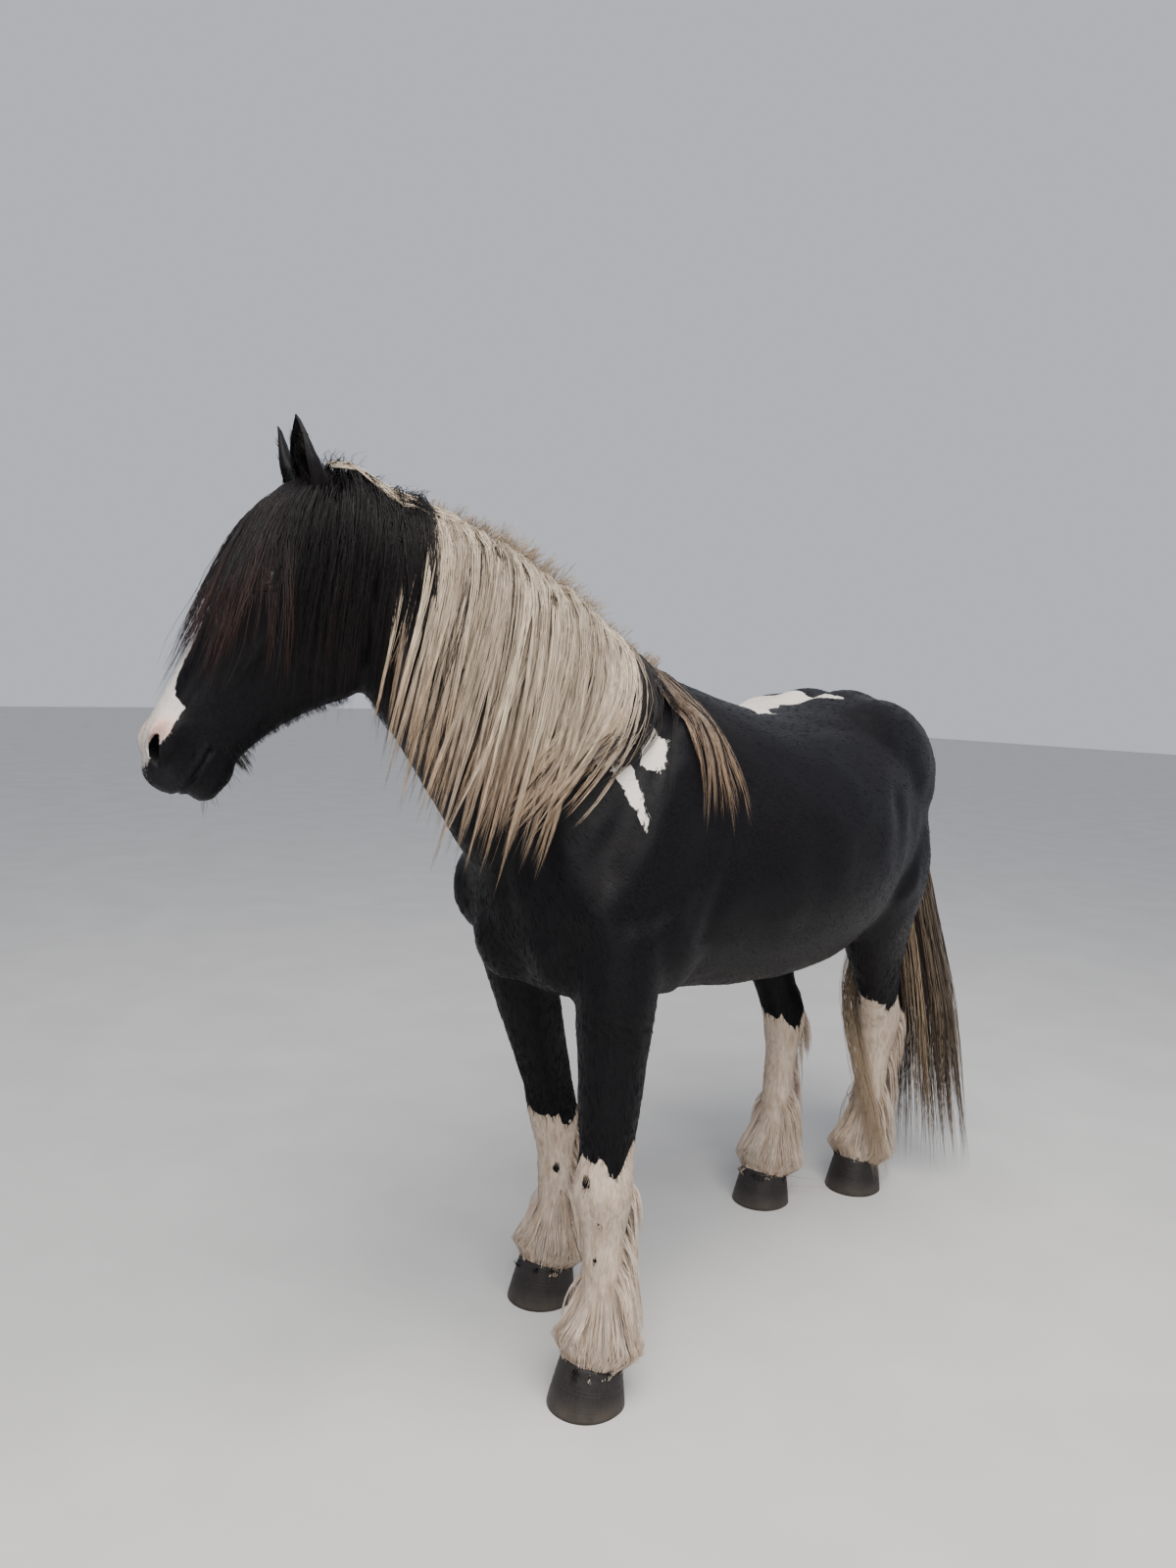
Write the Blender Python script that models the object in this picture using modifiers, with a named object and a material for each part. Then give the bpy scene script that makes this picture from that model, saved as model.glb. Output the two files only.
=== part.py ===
"""A life-size gypsy cob, a heavy black-and-white pony, standing square and looking to its right.

Metres, +Z up. The animal faces -X, its left side is at -Y, and it stands on four flat soles at Z = 0.
Blender 4.5: run with blender --background --python part.py, or from the text editor.
"""
import math
import random

import bmesh
import bpy
from mathutils import Matrix, Vector
from mathutils.bvhtree import BVHTree

# Driving sizes
WITHERS_HEIGHT = 1.46
GAP = 0.0003
VOXEL = 0.008
LEFT = -1
RIGHT = 1

# The trunk: x, top, bottom, half width, height of the widest place
TRUNK = [
    (-0.792, 1.150, 1.000, 0.070, 1.07),
    (-0.752, 1.250, 0.890, 0.155, 1.05),
    (-0.675, 1.345, 0.800, 0.220, 1.03),
    (-0.580, 1.415, 0.758, 0.255, 1.02),
    (-0.460, WITHERS_HEIGHT, 0.754, 0.275, 1.03),
    (-0.340, 1.440, 0.746, 0.300, 1.04),
    (-0.200, 1.402, 0.728, 0.328, 1.04),
    (-0.040, 1.376, 0.712, 0.344, 1.04),
    (0.120, 1.380, 0.712, 0.342, 1.05),
    (0.260, 1.405, 0.735, 0.320, 1.07),
    (0.370, 1.428, 0.785, 0.290, 1.10),
    (0.475, 1.425, 0.835, 0.264, 1.12),
    (0.570, 1.385, 0.890, 0.228, 1.12),
    (0.650, 1.318, 0.950, 0.178, 1.11),
    (0.705, 1.240, 1.010, 0.112, 1.10),
    (0.732, 1.180, 1.060, 0.050, 1.10),
]

# The neck: centre, half width, reach up to the crest, reach down to the throat
NECK = [
    ((-0.400, 0.000, 1.080), 0.215, 0.320, 0.300),
    ((-0.520, 0.000, 1.150), 0.195, 0.305, 0.295),
    ((-0.640, 0.020, 1.250), 0.165, 0.275, 0.262),
    ((-0.755, 0.062, 1.365), 0.138, 0.242, 0.218),
    ((-0.860, 0.118, 1.478), 0.118, 0.212, 0.178),
    ((-0.942, 0.172, 1.575), 0.104, 0.176, 0.150),
    ((-1.006, 0.216, 1.648), 0.090, 0.120, 0.120),
]

# The head's own frame: u from poll to muzzle, v towards the face, w to the left
POLL = Vector((-1.016, 0.226, 1.722))
HEAD_TURN = math.radians(20)
HEAD_DROP = math.radians(56.5)
HEAD_LENGTH = 0.592
# u, reach towards the face, reach towards the jaw, half width
HEAD = [
    (-0.040, 0.045, 0.080, 0.050),
    (0.000, 0.070, 0.140, 0.076),
    (0.060, 0.090, 0.206, 0.094),
    (0.130, 0.101, 0.242, 0.103),
    (0.200, 0.101, 0.244, 0.104),
    (0.270, 0.094, 0.214, 0.090),
    (0.340, 0.086, 0.164, 0.072),
    (0.410, 0.078, 0.126, 0.060),
    (0.480, 0.071, 0.104, 0.056),
    (0.540, 0.062, 0.098, 0.056),
    (0.575, 0.040, 0.092, 0.050),
    (HEAD_LENGTH, 0.000, 0.070, 0.030),
]
EYE_PLACE = (0.205, 0.048, 0.089)
EYE_RADIUS = 0.021

# Legs as joints from the top down: elbow or stifle, knee or hock, fetlock, coronet
LEGS = {
    "front_left": [(-0.640, -0.180, 0.870), (-0.660, -0.172, 0.430),
                   (-0.648, -0.170, 0.170), (-0.670, -0.170, 0.078)],
    "front_right": [(-0.555, 0.190, 0.870), (-0.432, 0.172, 0.430),
                    (-0.424, 0.165, 0.170), (-0.446, 0.165, 0.078)],
    "hind_left": [(0.385, -0.175, 0.900), (0.650, -0.088, 0.500),
                  (0.648, -0.064, 0.175), (0.618, -0.060, 0.078)],
    "hind_right": [(0.315, 0.175, 0.900), (0.440, 0.098, 0.500),
                   (0.388, 0.082, 0.175), (0.350, 0.080, 0.078)],
}
# Bone number, share along it, half width, reach forwards, reach backwards
FRONT_SHAPE = [
    (0, -0.20, 0.080, 0.100, 0.085),
    (0, 0.05, 0.084, 0.098, 0.058),
    (0, 0.25, 0.078, 0.086, 0.054),
    (0, 0.50, 0.068, 0.074, 0.056),
    (0, 0.74, 0.057, 0.060, 0.056),
    (0, 0.88, 0.055, 0.056, 0.052),
    (1, 0.00, 0.060, 0.062, 0.052),
    (1, 0.16, 0.054, 0.052, 0.052),
    (1, 0.34, 0.043, 0.038, 0.046),
    (1, 0.64, 0.041, 0.036, 0.046),
    (1, 0.86, 0.045, 0.039, 0.050),
    (2, 0.04, 0.053, 0.046, 0.060),
    (2, 0.45, 0.047, 0.045, 0.045),
    (2, 0.80, 0.052, 0.050, 0.048),
    (2, 1.00, 0.060, 0.060, 0.058),
    (2, 1.50, 0.060, 0.060, 0.058),
]
HIND_SHAPE = [
    (0, -0.10, 0.100, 0.120, 0.180),
    (0, 0.12, 0.098, 0.110, 0.175),
    (0, 0.36, 0.080, 0.090, 0.120),
    (0, 0.60, 0.062, 0.072, 0.078),
    (0, 0.82, 0.050, 0.062, 0.066),
    (1, 0.00, 0.052, 0.066, 0.072),
    (1, 0.16, 0.050, 0.056, 0.058),
    (1, 0.34, 0.043, 0.042, 0.048),
    (1, 0.66, 0.041, 0.038, 0.046),
    (1, 0.86, 0.045, 0.040, 0.050),
    (2, 0.04, 0.053, 0.046, 0.060),
    (2, 0.45, 0.047, 0.045, 0.045),
    (2, 0.80, 0.052, 0.050, 0.048),
    (2, 1.00, 0.060, 0.060, 0.058),
    (2, 1.50, 0.060, 0.060, 0.058),
]

# Muscles, as balls on both sides: centre (x, |y|, z), radii, lean about Y in degrees
MUSCLES = [
    ((-0.535, 0.172, 1.110), (0.140, 0.090, 0.262), 22),
    ((-0.664, 0.158, 0.990), (0.094, 0.080, 0.108), 0),
    ((-0.686, 0.076, 0.915), (0.086, 0.076, 0.115), 0),
    ((-0.545, 0.196, 0.930), (0.110, 0.078, 0.130), -15),
    ((0.400, 0.145, 1.205), (0.262, 0.138, 0.200), 8),
    ((0.465, 0.150, 1.000), (0.190, 0.118, 0.255), -14),
    ((0.370, 0.175, 0.885), (0.088, 0.078, 0.112), 20),
    ((0.590, 0.098, 1.050), (0.110, 0.088, 0.215), -6),
]
# The same at each leg's second joint: set back from it, height above it, radii
HOCK_MASS = (0.042, 0.038, (0.026, 0.026, 0.052))
KNEE_MASS = (0.040, 0.006, (0.022, 0.030, 0.030))
# The same on the head: centre (u, v, w), radii
HEAD_MASSES = [
    ((0.196, 0.056, 0.074), (0.050, 0.034, 0.034)),
    ((0.165, -0.105, 0.058), (0.108, 0.122, 0.048)),
    ((0.305, -0.008, 0.060), (0.095, 0.016, 0.018)),
    ((0.530, 0.026, 0.044), (0.048, 0.036, 0.024)),
    ((0.572, -0.012, 0.012), (0.044, 0.050, 0.042)),
    ((0.556, -0.076, 0.008), (0.040, 0.032, 0.036)),
    ((0.532, -0.084, 0.006), (0.036, 0.027, 0.034)),
]
# Along the head's axes: place, the way it faces and the way down it; reach down, across and in
NOSTRIL_PLACE = (0.565, 0.040, 0.056)
NOSTRIL_FACING = (0.60, 0.30, 0.74)
NOSTRIL_DOWN = (0.834, -0.552, 0.0)
NOSTRIL_RADII = (0.024, 0.010, 0.017)
# The slit between the lips, as u and v from its corner to the front and back
MOUTH = [(0.500, -0.053), (0.535, -0.047), (0.570, -0.041), (0.640, -0.043),
         (0.640, -0.047), (0.570, -0.045), (0.535, -0.051)]
MOUTH_CORE = ((0.530, -0.041, 0), (0.072, 0.060, 0.041))
LID_OPENING = (0.0185, 0.0125)

CORONET_SLOPE = 0.30
# Share of the height, half width, reach to the toe, reach to the heels
HOOF_SHAPE = [(0.0, 0.076, 0.084, 0.070), (0.06, 0.0755, 0.083, 0.070), (1.0, 0.061, 0.062, 0.060)]
TIP_FLOOR = 0.012
BODY_TRIANGLES = 2450
HEAD_TRIANGLES = 950
HEAD_CUT = ((-0.960, 0.195, 1.580), (-0.62, 0.30, -0.10))
NECK_CUT = ((-0.640, 0.020, 1.230), (-0.853, 0.060, 0.522))
KNEE_CUT = 0.500

EAR_PLACE = (0.022, 0.056, 0.052)
EAR_LENGTH = 0.142
# Share of the length, half width, half depth
EAR_SHAPE = [(-0.12, 0.018, 0.018), (0.0, 0.026, 0.024), (0.12, 0.031, 0.026), (0.28, 0.035, 0.024),
             (0.45, 0.035, 0.021), (0.62, 0.030, 0.017), (0.78, 0.022, 0.013), (0.92, 0.011, 0.008)]
MANE_START = 0.37
MANE_END = 0.90
MANE_ROOT = (0.205, 0.92)
MANE_LOCKS = 16
# Near the withers: share of the crest, length, pull along X, how much more at the tip
REAR_LOCKS = ((0.29, 0.37, 0.03, 0.0), (0.32, 0.41, -0.02, 0.0), (0.352, 0.42, -0.10, -1.9))
# Share of the crest, length of the mane there
MANE_LENGTHS = ((0.21, 0.37), (0.38, 0.44), (0.55, 0.58), (0.75, 0.60), (0.92, 0.50))
# Share of the crest, how far the hair swings forward as it falls, how much more at its tip
MANE_SWINGS = ((0.37, -0.12, -1.9), (0.46, -0.26, -1.0), (0.56, -0.32, -0.35), (0.66, -0.38, 0.0),
               (0.80, -0.28, 0.0), (0.95, -0.20, 0.0))
MANE_WIDTH = 0.062
POLL_LOCKS = 6
FORELOCK_LOCKS = 7
FORELOCK_LENGTH = 0.405
# How far the locks on the left hang straight down instead of along the face
FORELOCK_WEIGHT = 0.6
BEARD_LOCKS = 3
BEARD_LENGTH = 0.065
TAIL_LOCKS = 12
TAIL_WIDTH = 0.070
# x, y, z, half width, half depth
TAIL_CORE = [
    (0.672, 0.000, 1.258, 0.048, 0.040), (0.730, -0.002, 1.236, 0.060, 0.056),
    (0.772, -0.006, 1.170, 0.062, 0.058), (0.800, -0.018, 1.050, 0.064, 0.058),
    (0.822, -0.040, 0.900, 0.062, 0.056), (0.838, -0.064, 0.740, 0.056, 0.050),
    (0.848, -0.086, 0.600, 0.044, 0.038), (0.852, -0.098, 0.510, 0.018, 0.016),
]
INNER_LOCK = [(0.806, -0.030, 0.940), (0.745, 0.010, 0.810), (0.675, 0.016, 0.690), (0.606, 0.004, 0.560),
              (0.576, -0.040, 0.420), (0.572, -0.088, 0.280), (0.570, -0.126, 0.160), (0.578, -0.146, 0.050)]
INNER_LOCKS = 2
# Share from the knee (0) by the fetlock (1) to the coronet (2), half width, fore, aft
FEATHER_CORE = [
    (0.08, 0.026, 0.020, 0.036), (0.20, 0.030, 0.024, 0.044),
    (0.34, 0.034, 0.028, 0.040), (0.50, 0.048, 0.030, 0.064), (0.78, 0.050, 0.046, 0.074),
    (1.00, 0.064, 0.056, 0.084), (1.45, 0.072, 0.068, 0.088), (1.85, 0.080, 0.082, 0.088),
    (2.05, 0.081, 0.084, 0.086),
]
# Height on the same scale, number of locks, their length, how far they stand off the skin
FEATHER_ROWS = ((0.16, 2, 0.15, 0.012), (0.46, 3, 0.17, 0.015), (1.00, 4, 0.15, 0.018), (1.62, 7, 0.080, 0.010))
FEATHER_WIDTH = 0.060
LOOKS = {
    "torso": "coat_black", "neck": "coat_black", "head": "coat_black", "dock": "coat_black",
    "eye_left": "eye", "eye_right": "eye", "ear_left": "coat_black", "ear_right": "coat_black",
    "forelock": "hair_black", "mane_poll": "hair_black", "mane": "hair_cream", "beard": "hair_black",
    "tail": "hair_brown", "tail_strand": "hair_brown",
}

LEG_LOOKS = {"shank": "coat_white", "thigh": "coat_black", "hoof": "hoof", "feather": "feather"}

COLOURS = {
    "coat_black": (0.018, 0.016, 0.020),
    "coat_white": (0.62, 0.52, 0.42),
    "eye": (0.02, 0.012, 0.008),
    "hoof": (0.09, 0.075, 0.075),
    "hair_black": (0.020, 0.017, 0.020),
    "hair_cream": (0.58, 0.49, 0.38),
    "hair_brown": (0.20, 0.13, 0.09),
    "feather": (0.66, 0.56, 0.46),
}


def clear_scene():
    """Removes what the startup scene holds."""
    for obj in list(bpy.data.objects):
        bpy.data.objects.remove(obj)


def collection(name):
    """A new collection in the scene."""
    made = bpy.data.collections.new(name)
    bpy.context.scene.collection.children.link(made)
    return made


def add_object(name, mesh, home):
    """A new object for this mesh, in that collection."""
    obj = bpy.data.objects.new(name, mesh)
    home.objects.link(obj)
    return obj


def material(name):
    """A Principled material with one of the named colours."""
    made = bpy.data.materials.get(name)
    if made is None:
        made = bpy.data.materials.new(name)
        made.use_nodes = True
        shader = made.node_tree.nodes["Principled BSDF"]
        shader.inputs["Base Color"].default_value = (*COLOURS[name], 1)
        shader.inputs["Roughness"].default_value = 0.15 if name == "eye" else 0.6
        made.diffuse_color = (*COLOURS[name], 1)
    return made


def loft(name, rings, home):
    """A closed skin through rings that have the same number of points; a ring of one point is a tip."""
    mesh = bpy.data.meshes.new(name)
    shape = bmesh.new()
    rows = [[shape.verts.new(p) for p in ring] for ring in rings]
    for a, b in zip(rows, rows[1:]):
        count = max(len(a), len(b))
        for i in range(count):
            j = (i + 1) % count
            corners = [a[i % len(a)], a[j % len(a)], b[j % len(b)], b[i % len(b)]]
            shape.faces.new(list(dict.fromkeys(corners)))
    for row in (rows[0], rows[-1]):
        if len(row) > 2:
            shape.faces.new(row)
    bmesh.ops.recalc_face_normals(shape, faces=shape.faces)
    bmesh.ops.triangulate(shape, faces=shape.faces)
    shape.to_mesh(mesh)
    shape.free()
    return add_object(name, mesh, home)


def smooth_between(rows, steps):
    """Rows of numbers with steps - 1 rows set between each two, on a smooth curve through them all."""
    rows = [tuple(float(x) for x in row) for row in rows]
    padded = [rows[0]] + rows + [rows[-1]]
    made = []
    for a, b, c, d in zip(padded, padded[1:], padded[2:], padded[3:]):
        for k in range(steps):
            t = k / steps
            row = []
            for p, q, r, s in zip(a, b, c, d):
                square = 2 * p - 5 * q + 4 * r - s
                cube = 3 * q - p - 3 * r + s
                row.append(0.5 * (2 * q + (r - p) * t + square * t * t + cube * t ** 3))
            made.append(tuple(row))
    made.append(rows[-1])
    return made


def oval(centre, side, front, half_width, fore, aft, sides, squareness=2.2):
    """A ring of points round centre: half_width along side, fore along front and aft behind it."""
    ring = []
    for i in range(sides):
        angle = 2 * math.pi * i / sides
        c, s = math.cos(angle), math.sin(angle)
        across = math.copysign(abs(c) ** (2 / squareness), c) * half_width
        along = math.copysign(abs(s) ** (2 / squareness), s) * (fore if s > 0 else aft)
        ring.append(centre + side * across + front * along)
    return ring


def trunk_rings():
    """The trunk's sections: narrow above at the withers, round at the barrel, broad over the croup."""
    rings = []
    for x, top, bottom, half_width, waist in smooth_between(TRUNK, 3):
        breadth = min(1, max(0, (x + 0.5) / 0.5))
        upper = 1.75 + 0.45 * breadth
        ring = []
        for i in range(40):
            angle = 2 * math.pi * i / 40
            c, s = math.cos(angle), math.sin(angle)
            power = 2 / (upper if s > 0 else 2.15)
            y = math.copysign(abs(c) ** power, c) * half_width
            reach = top - waist if s > 0 else waist - bottom
            z = waist + math.copysign(abs(s) ** power, s) * reach
            ring.append(Vector((x, y, z)))
        rings.append(ring)
    return rings


def neck_frames():
    """(centre, side, up, half width, reach up, reach down) along the neck, from its base to the poll."""
    rows = smooth_between([(*centre, *sizes) for centre, *sizes in NECK], 4)
    points = [Vector(row[:3]) for row in rows]
    frames = []
    for i, row in enumerate(rows):
        along = (points[min(i + 1, len(rows) - 1)] - points[max(i - 1, 0)]).normalized()
        side = along.cross(Vector((0, 0, 1))).normalized()
        frames.append((points[i], side, side.cross(along).normalized(), *row[3:]))
    return frames


def head_matrix():
    """The head's frame in the world: u down the face, v forwards of it, w to the animal's left."""
    ahead = Vector((-math.cos(HEAD_TURN), math.sin(HEAD_TURN), 0))
    u = ahead * math.cos(HEAD_DROP) - Vector((0, 0, math.sin(HEAD_DROP)))
    v = ahead * math.sin(HEAD_DROP) + Vector((0, 0, math.cos(HEAD_DROP)))
    w = u.cross(v)
    if w.y > 0:
        w = -w
    frame = Matrix.Identity(4)
    for column, axis in enumerate((u, v, w)):
        frame.col[column] = (*axis, 0)
    frame.translation = POLL
    return frame


def on_head(u, v, w):
    """A place on the head as a world point."""
    return head_matrix() @ Vector((u, v, w))


def head_rings():
    """The head's sections, flatter across the nose than under the jaw."""
    frame = head_matrix().to_3x3()
    side, front = frame.col[2], frame.col[1]
    rings = []
    for u, face, jaw, half_width in smooth_between(HEAD, 4):
        rings.append(oval(on_head(u, 0, 0), side, front, half_width, face, jaw, 28, 2.5))
    return rings


def leg_rows(joints, shape):
    """(centre, half width, fore, aft) for each station of a leg."""
    joints = [Vector(p) for p in joints]
    return [(joints[b].lerp(joints[b + 1], t), w, f, a) for b, t, w, f, a in shape]


def leg_rings(joints, shape):
    """Rings square to the leg's line, from the top down."""
    rows = smooth_between([(*c, w, f, a) for c, w, f, a in leg_rows(joints, shape)], 3)
    points = [Vector(row[:3]) for row in rows]
    rings = []
    for i, row in enumerate(rows):
        along = (points[min(i + 1, len(rows) - 1)] - points[max(i - 1, 0)]).normalized()
        front = (Vector((-1, 0, 0)) - along * along.dot(Vector((-1, 0, 0)))).normalized()
        side = along.cross(front)
        rings.append(oval(points[i], side, front, *row[3:], 20))
    return rings


def ball(name, matrix, home, segments=24):
    """A unit ball put through a matrix."""
    mesh = bpy.data.meshes.new(name)
    shape = bmesh.new()
    bmesh.ops.create_uvsphere(shape, u_segments=segments, v_segments=segments // 2, radius=1, matrix=matrix)
    bmesh.ops.recalc_face_normals(shape, faces=shape.faces)
    shape.to_mesh(mesh)
    shape.free()
    return add_object(name, mesh, home)


def stretched(centre, radii, turn=None):
    """The matrix of an ellipsoid: radii along its own axes, turned, at centre."""
    turn = turn or Matrix.Identity(4)
    return Matrix.Translation(centre) @ turn @ Matrix.Diagonal((*radii, 1))


def muscle_balls(home):
    """The muscles of both sides and the masses of the head."""
    made = []
    for side in (LEFT, RIGHT):
        for (x, y, z), radii, lean in MUSCLES:
            turn = Matrix.Rotation(math.radians(lean), 4, "Y")
            made.append(ball("muscle", stretched(Vector((x, side * y, z)), radii, turn), home))
        for (u, v, w), radii in HEAD_MASSES:
            local = stretched(Vector((u, v, -side * w)), radii)
            made.append(ball("mass", head_matrix() @ local, home))
    return made


def dock_rings():
    """The root of the tail, which the croup carries backwards and down."""
    path = [(0.600, 0, 1.258, 0.056), (0.680, 0, 1.250, 0.046), (0.742, 0, 1.205, 0.040),
            (0.778, -0.004, 1.120, 0.030), (0.794, -0.012, 1.040, 0.014)]
    rows = smooth_between(path, 2)
    points = [Vector(row[:3]) for row in rows]
    rings = []
    for i, row in enumerate(rows):
        along = (points[min(i + 1, len(rows) - 1)] - points[max(i - 1, 0)]).normalized()
        side = Vector((0, 1, 0))
        rings.append(oval(points[i], side, side.cross(along), row[3], row[3], row[3], 8))
    return rings


def evaluated_mesh(obj):
    """The object's mesh with its modifiers applied, at its place in the world."""
    graph = bpy.context.evaluated_depsgraph_get()
    mesh = bpy.data.meshes.new_from_object(obj.evaluated_get(graph))
    mesh.transform(obj.matrix_world)
    return mesh


def applied(obj):
    """Applies the object's modifiers."""
    mesh = evaluated_mesh(obj)
    obj.modifiers.clear()
    obj.matrix_world = Matrix.Identity(4)
    old = obj.data
    obj.data = mesh
    bpy.data.meshes.remove(old)
    return obj


def largest_shell(obj):
    """Keeps only the object's largest closed surface."""
    shape = bmesh.new()
    shape.from_mesh(obj.data)
    shape.verts.ensure_lookup_table()
    seen = set()
    shells = []
    for start in shape.verts:
        if start.index in seen:
            continue
        stack, shell = [start], []
        seen.add(start.index)
        while stack:
            vert = stack.pop()
            shell.append(vert)
            for edge in vert.link_edges:
                other = edge.other_vert(vert)
                if other.index not in seen:
                    seen.add(other.index)
                    stack.append(other)
        shells.append(shell)
    shells.sort(key=len, reverse=True)
    loose = [vert for shell in shells[1:] for vert in shell]
    bmesh.ops.delete(shape, geom=loose, context="VERTS")
    shape.to_mesh(obj.data)
    shape.free()
    return obj


def boolean(obj, others, operation, solver="MANIFOLD"):
    """Joins others to obj, cuts them from it or keeps what they share, and applies it."""
    pieces = bpy.data.collections.new("operands")
    for other in others:
        pieces.objects.link(other)
    modifier = obj.modifiers.new("boolean", "BOOLEAN")
    modifier.operation = operation
    modifier.solver = solver
    modifier.operand_type = "COLLECTION"
    modifier.collection = pieces
    applied(obj)
    bpy.data.collections.remove(pieces)
    return triangulated(obj)


def triangulated(obj):
    """The same mesh in triangles, so that its faces are flat."""
    shape = bmesh.new()
    shape.from_mesh(obj.data)
    bmesh.ops.triangulate(shape, faces=shape.faces)
    shape.to_mesh(obj.data)
    shape.free()
    return obj


def remove(objects):
    """Removes helper objects."""
    for obj in objects:
        bpy.data.objects.remove(obj)


def copy_of(obj, name, home):
    """A copy with its own mesh."""
    return add_object(name, obj.data.copy(), home)


def joined(name, objects, home):
    """One object that holds every mesh of objects as separate shells."""
    shape = bmesh.new()
    for obj in objects:
        shape.from_mesh(obj.data)
    mesh = bpy.data.meshes.new(name)
    shape.to_mesh(mesh)
    shape.free()
    remove(objects)
    return add_object(name, mesh, home)


def make_flesh(home):
    """The whole body in one smooth skin: trunk, neck, head and legs."""
    pieces = [loft("trunk", trunk_rings(), home), loft("head_form", head_rings(), home)]
    pieces.append(loft("neck_form", [oval(*frame, 32) for frame in neck_frames()], home))
    for name, joints in LEGS.items():
        shape = FRONT_SHAPE if name.startswith("front") else HIND_SHAPE
        pieces.append(loft("leg_form", leg_rings(joints, shape), home))
        back, above, radii = KNEE_MASS if name.startswith("front") else HOCK_MASS
        place = Vector(joints[1]) + Vector((back, 0, above))
        pieces.append(ball("joint_mass", stretched(place, radii), home, 12))
    pieces += muscle_balls(home)
    flesh = joined("flesh", pieces, home)
    remesh = flesh.modifiers.new("remesh", "REMESH")
    remesh.mode = "VOXEL"
    remesh.voxel_size = VOXEL
    applied(flesh)
    for weight_of, times in ((trunk_weight, 24), (head_weight, 5)):
        group = flesh.vertex_groups.new(name=f"smooth_{times}")
        for vert in flesh.data.vertices:
            weight = weight_of(vert.co)
            if weight > 0:
                group.add([vert.index], weight, "REPLACE")
        smooth = flesh.modifiers.new("smooth", "SMOOTH")
        smooth.factor = 0.5
        smooth.iterations = times
        smooth.vertex_group = group.name
        applied(flesh)
    flesh.vertex_groups.clear()
    return triangulated(thinned(flesh))


def trunk_weight(point):
    """How much a place is smoothed so that muscles flow together: full on the trunk, little on the legs."""
    share = (point.z - 0.45) / 0.35
    near_head = (head_matrix().inverted() @ point).x > -0.02 and point.x < -0.95
    return 0.0 if near_head else min(1.0, max(0.15, share))


def head_weight(point):
    """The head is smoothed lightly, to keep its form."""
    return 1.0 if (head_matrix().inverted() @ point).x > -0.06 and point.x < -0.9 else 0.0


def thinned(flesh):
    """Fewer triangles, first on the body and then on the head, which keeps more of them."""
    for on_head_side, triangles in ((False, BODY_TRIANGLES), (True, HEAD_TRIANGLES)):
        group = flesh.vertex_groups.new(name="thin")
        chosen = {v.index for v in flesh.data.vertices if is_head(v.co) == on_head_side}
        group.add(list(chosen), 1.0, "REPLACE")
        kept = taken = 0
        for polygon in flesh.data.polygons:
            count = len(polygon.vertices) - 2
            if any(v in chosen for v in polygon.vertices):
                taken += count
            else:
                kept += count
        reduce = flesh.modifiers.new("reduce", "DECIMATE")
        reduce.ratio = (kept + triangles) / (kept + taken)
        reduce.vertex_group = group.name
        reduce.use_collapse_triangulate = True
        applied(flesh)
        flesh.vertex_groups.clear()
    return flesh


def is_head(point):
    """Whether a place on the skin belongs to the head, which is kept finer."""
    return point.x < -0.9 and (head_matrix().inverted() @ point).x > 0.0


def prism(name, low, high, home, top_at=None, grow=0.0):
    """A box from low to high whose upper face follows top_at(x, y), grown on every side."""
    (x0, y0, z0), (x1, y1, z1) = low, high
    floor, roof = [], []
    x0, y0, x1, y1 = x0 - grow, y0 - grow, x1 + grow, y1 + grow
    for x, y in ((x0, y0), (x1, y0), (x1, y1), (x0, y1)):
        floor.append(Vector((x, y, z0 - grow)))
        roof.append(Vector((x, y, (top_at(x, y) if top_at else z1) + grow)))
    return loft(name, [floor, roof], home)


def half_space(name, point, normal, home, reach, grow=0.0):
    """A cube with one face through point, square to normal and on its far side, moved back by grow."""
    normal = Vector(normal).normalized()
    turn = normal.to_track_quat("Z", "Y").to_matrix().to_4x4()
    mesh = bpy.data.meshes.new(name)
    shape = bmesh.new()
    centre = Matrix.Translation((0, 0, 1))
    bmesh.ops.create_cube(shape, size=2, matrix=Matrix.Diagonal((reach, reach, reach, 1)) @ centre)
    shape.to_mesh(mesh)
    shape.free()
    mesh.transform(Matrix.Translation(Vector(point) - normal * grow) @ turn)
    return add_object(name, mesh, home)


def split(rest, name, cutter, home):
    """Takes from rest what lies in the cutter, as a new part, with the gap between the two."""
    part = copy_of(rest, name, home)
    inner = cutter(-GAP / 2)
    boolean(part, [inner], "INTERSECT")
    outer = cutter(GAP / 2)
    boolean(rest, [outer], "DIFFERENCE")
    remove([inner, outer])
    largest_shell(part)
    largest_shell(rest)
    return part


def coronet_plane(joints):
    """A point and the upward normal of the slanting top of a hoof."""
    return Vector(joints[3]), Vector((CORONET_SLOPE, 0, 1)).normalized()


def make_hoof(name, joints, home):
    """A hoof: a flat sole, walls that narrow upwards and a top that slants down to the heels."""
    crown, up = coronet_plane(joints)
    toe = (Vector(joints[3]) - Vector(joints[2])).x
    centre = Vector((crown.x + toe * 0.45, crown.y, 0))
    rings = []
    for share, half_width, fore, aft in HOOF_SHAPE:
        middle = centre.lerp(Vector((crown.x, crown.y, 0)), share)
        ring = []
        for point in oval(middle, Vector((0, 1, 0)), Vector((-1, 0, 0)), half_width, fore, aft, 18, 2.1):
            height = crown.z - CORONET_SLOPE * (point.x - crown.x) - GAP
            ring.append(Vector((point.x, point.y, height * share)))
        rings.append(ring)
    return loft(name, rings, home)


def frame_along(direction, outward):
    """Unit vectors across and out of a strand that runs along direction and lies with its face outward."""
    across = direction.cross(outward)
    if across.length < 1e-6:
        across = direction.cross(Vector((1, 0.3, 0.1)))
    across.normalize()
    return across, across.cross(direction).normalized()


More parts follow.
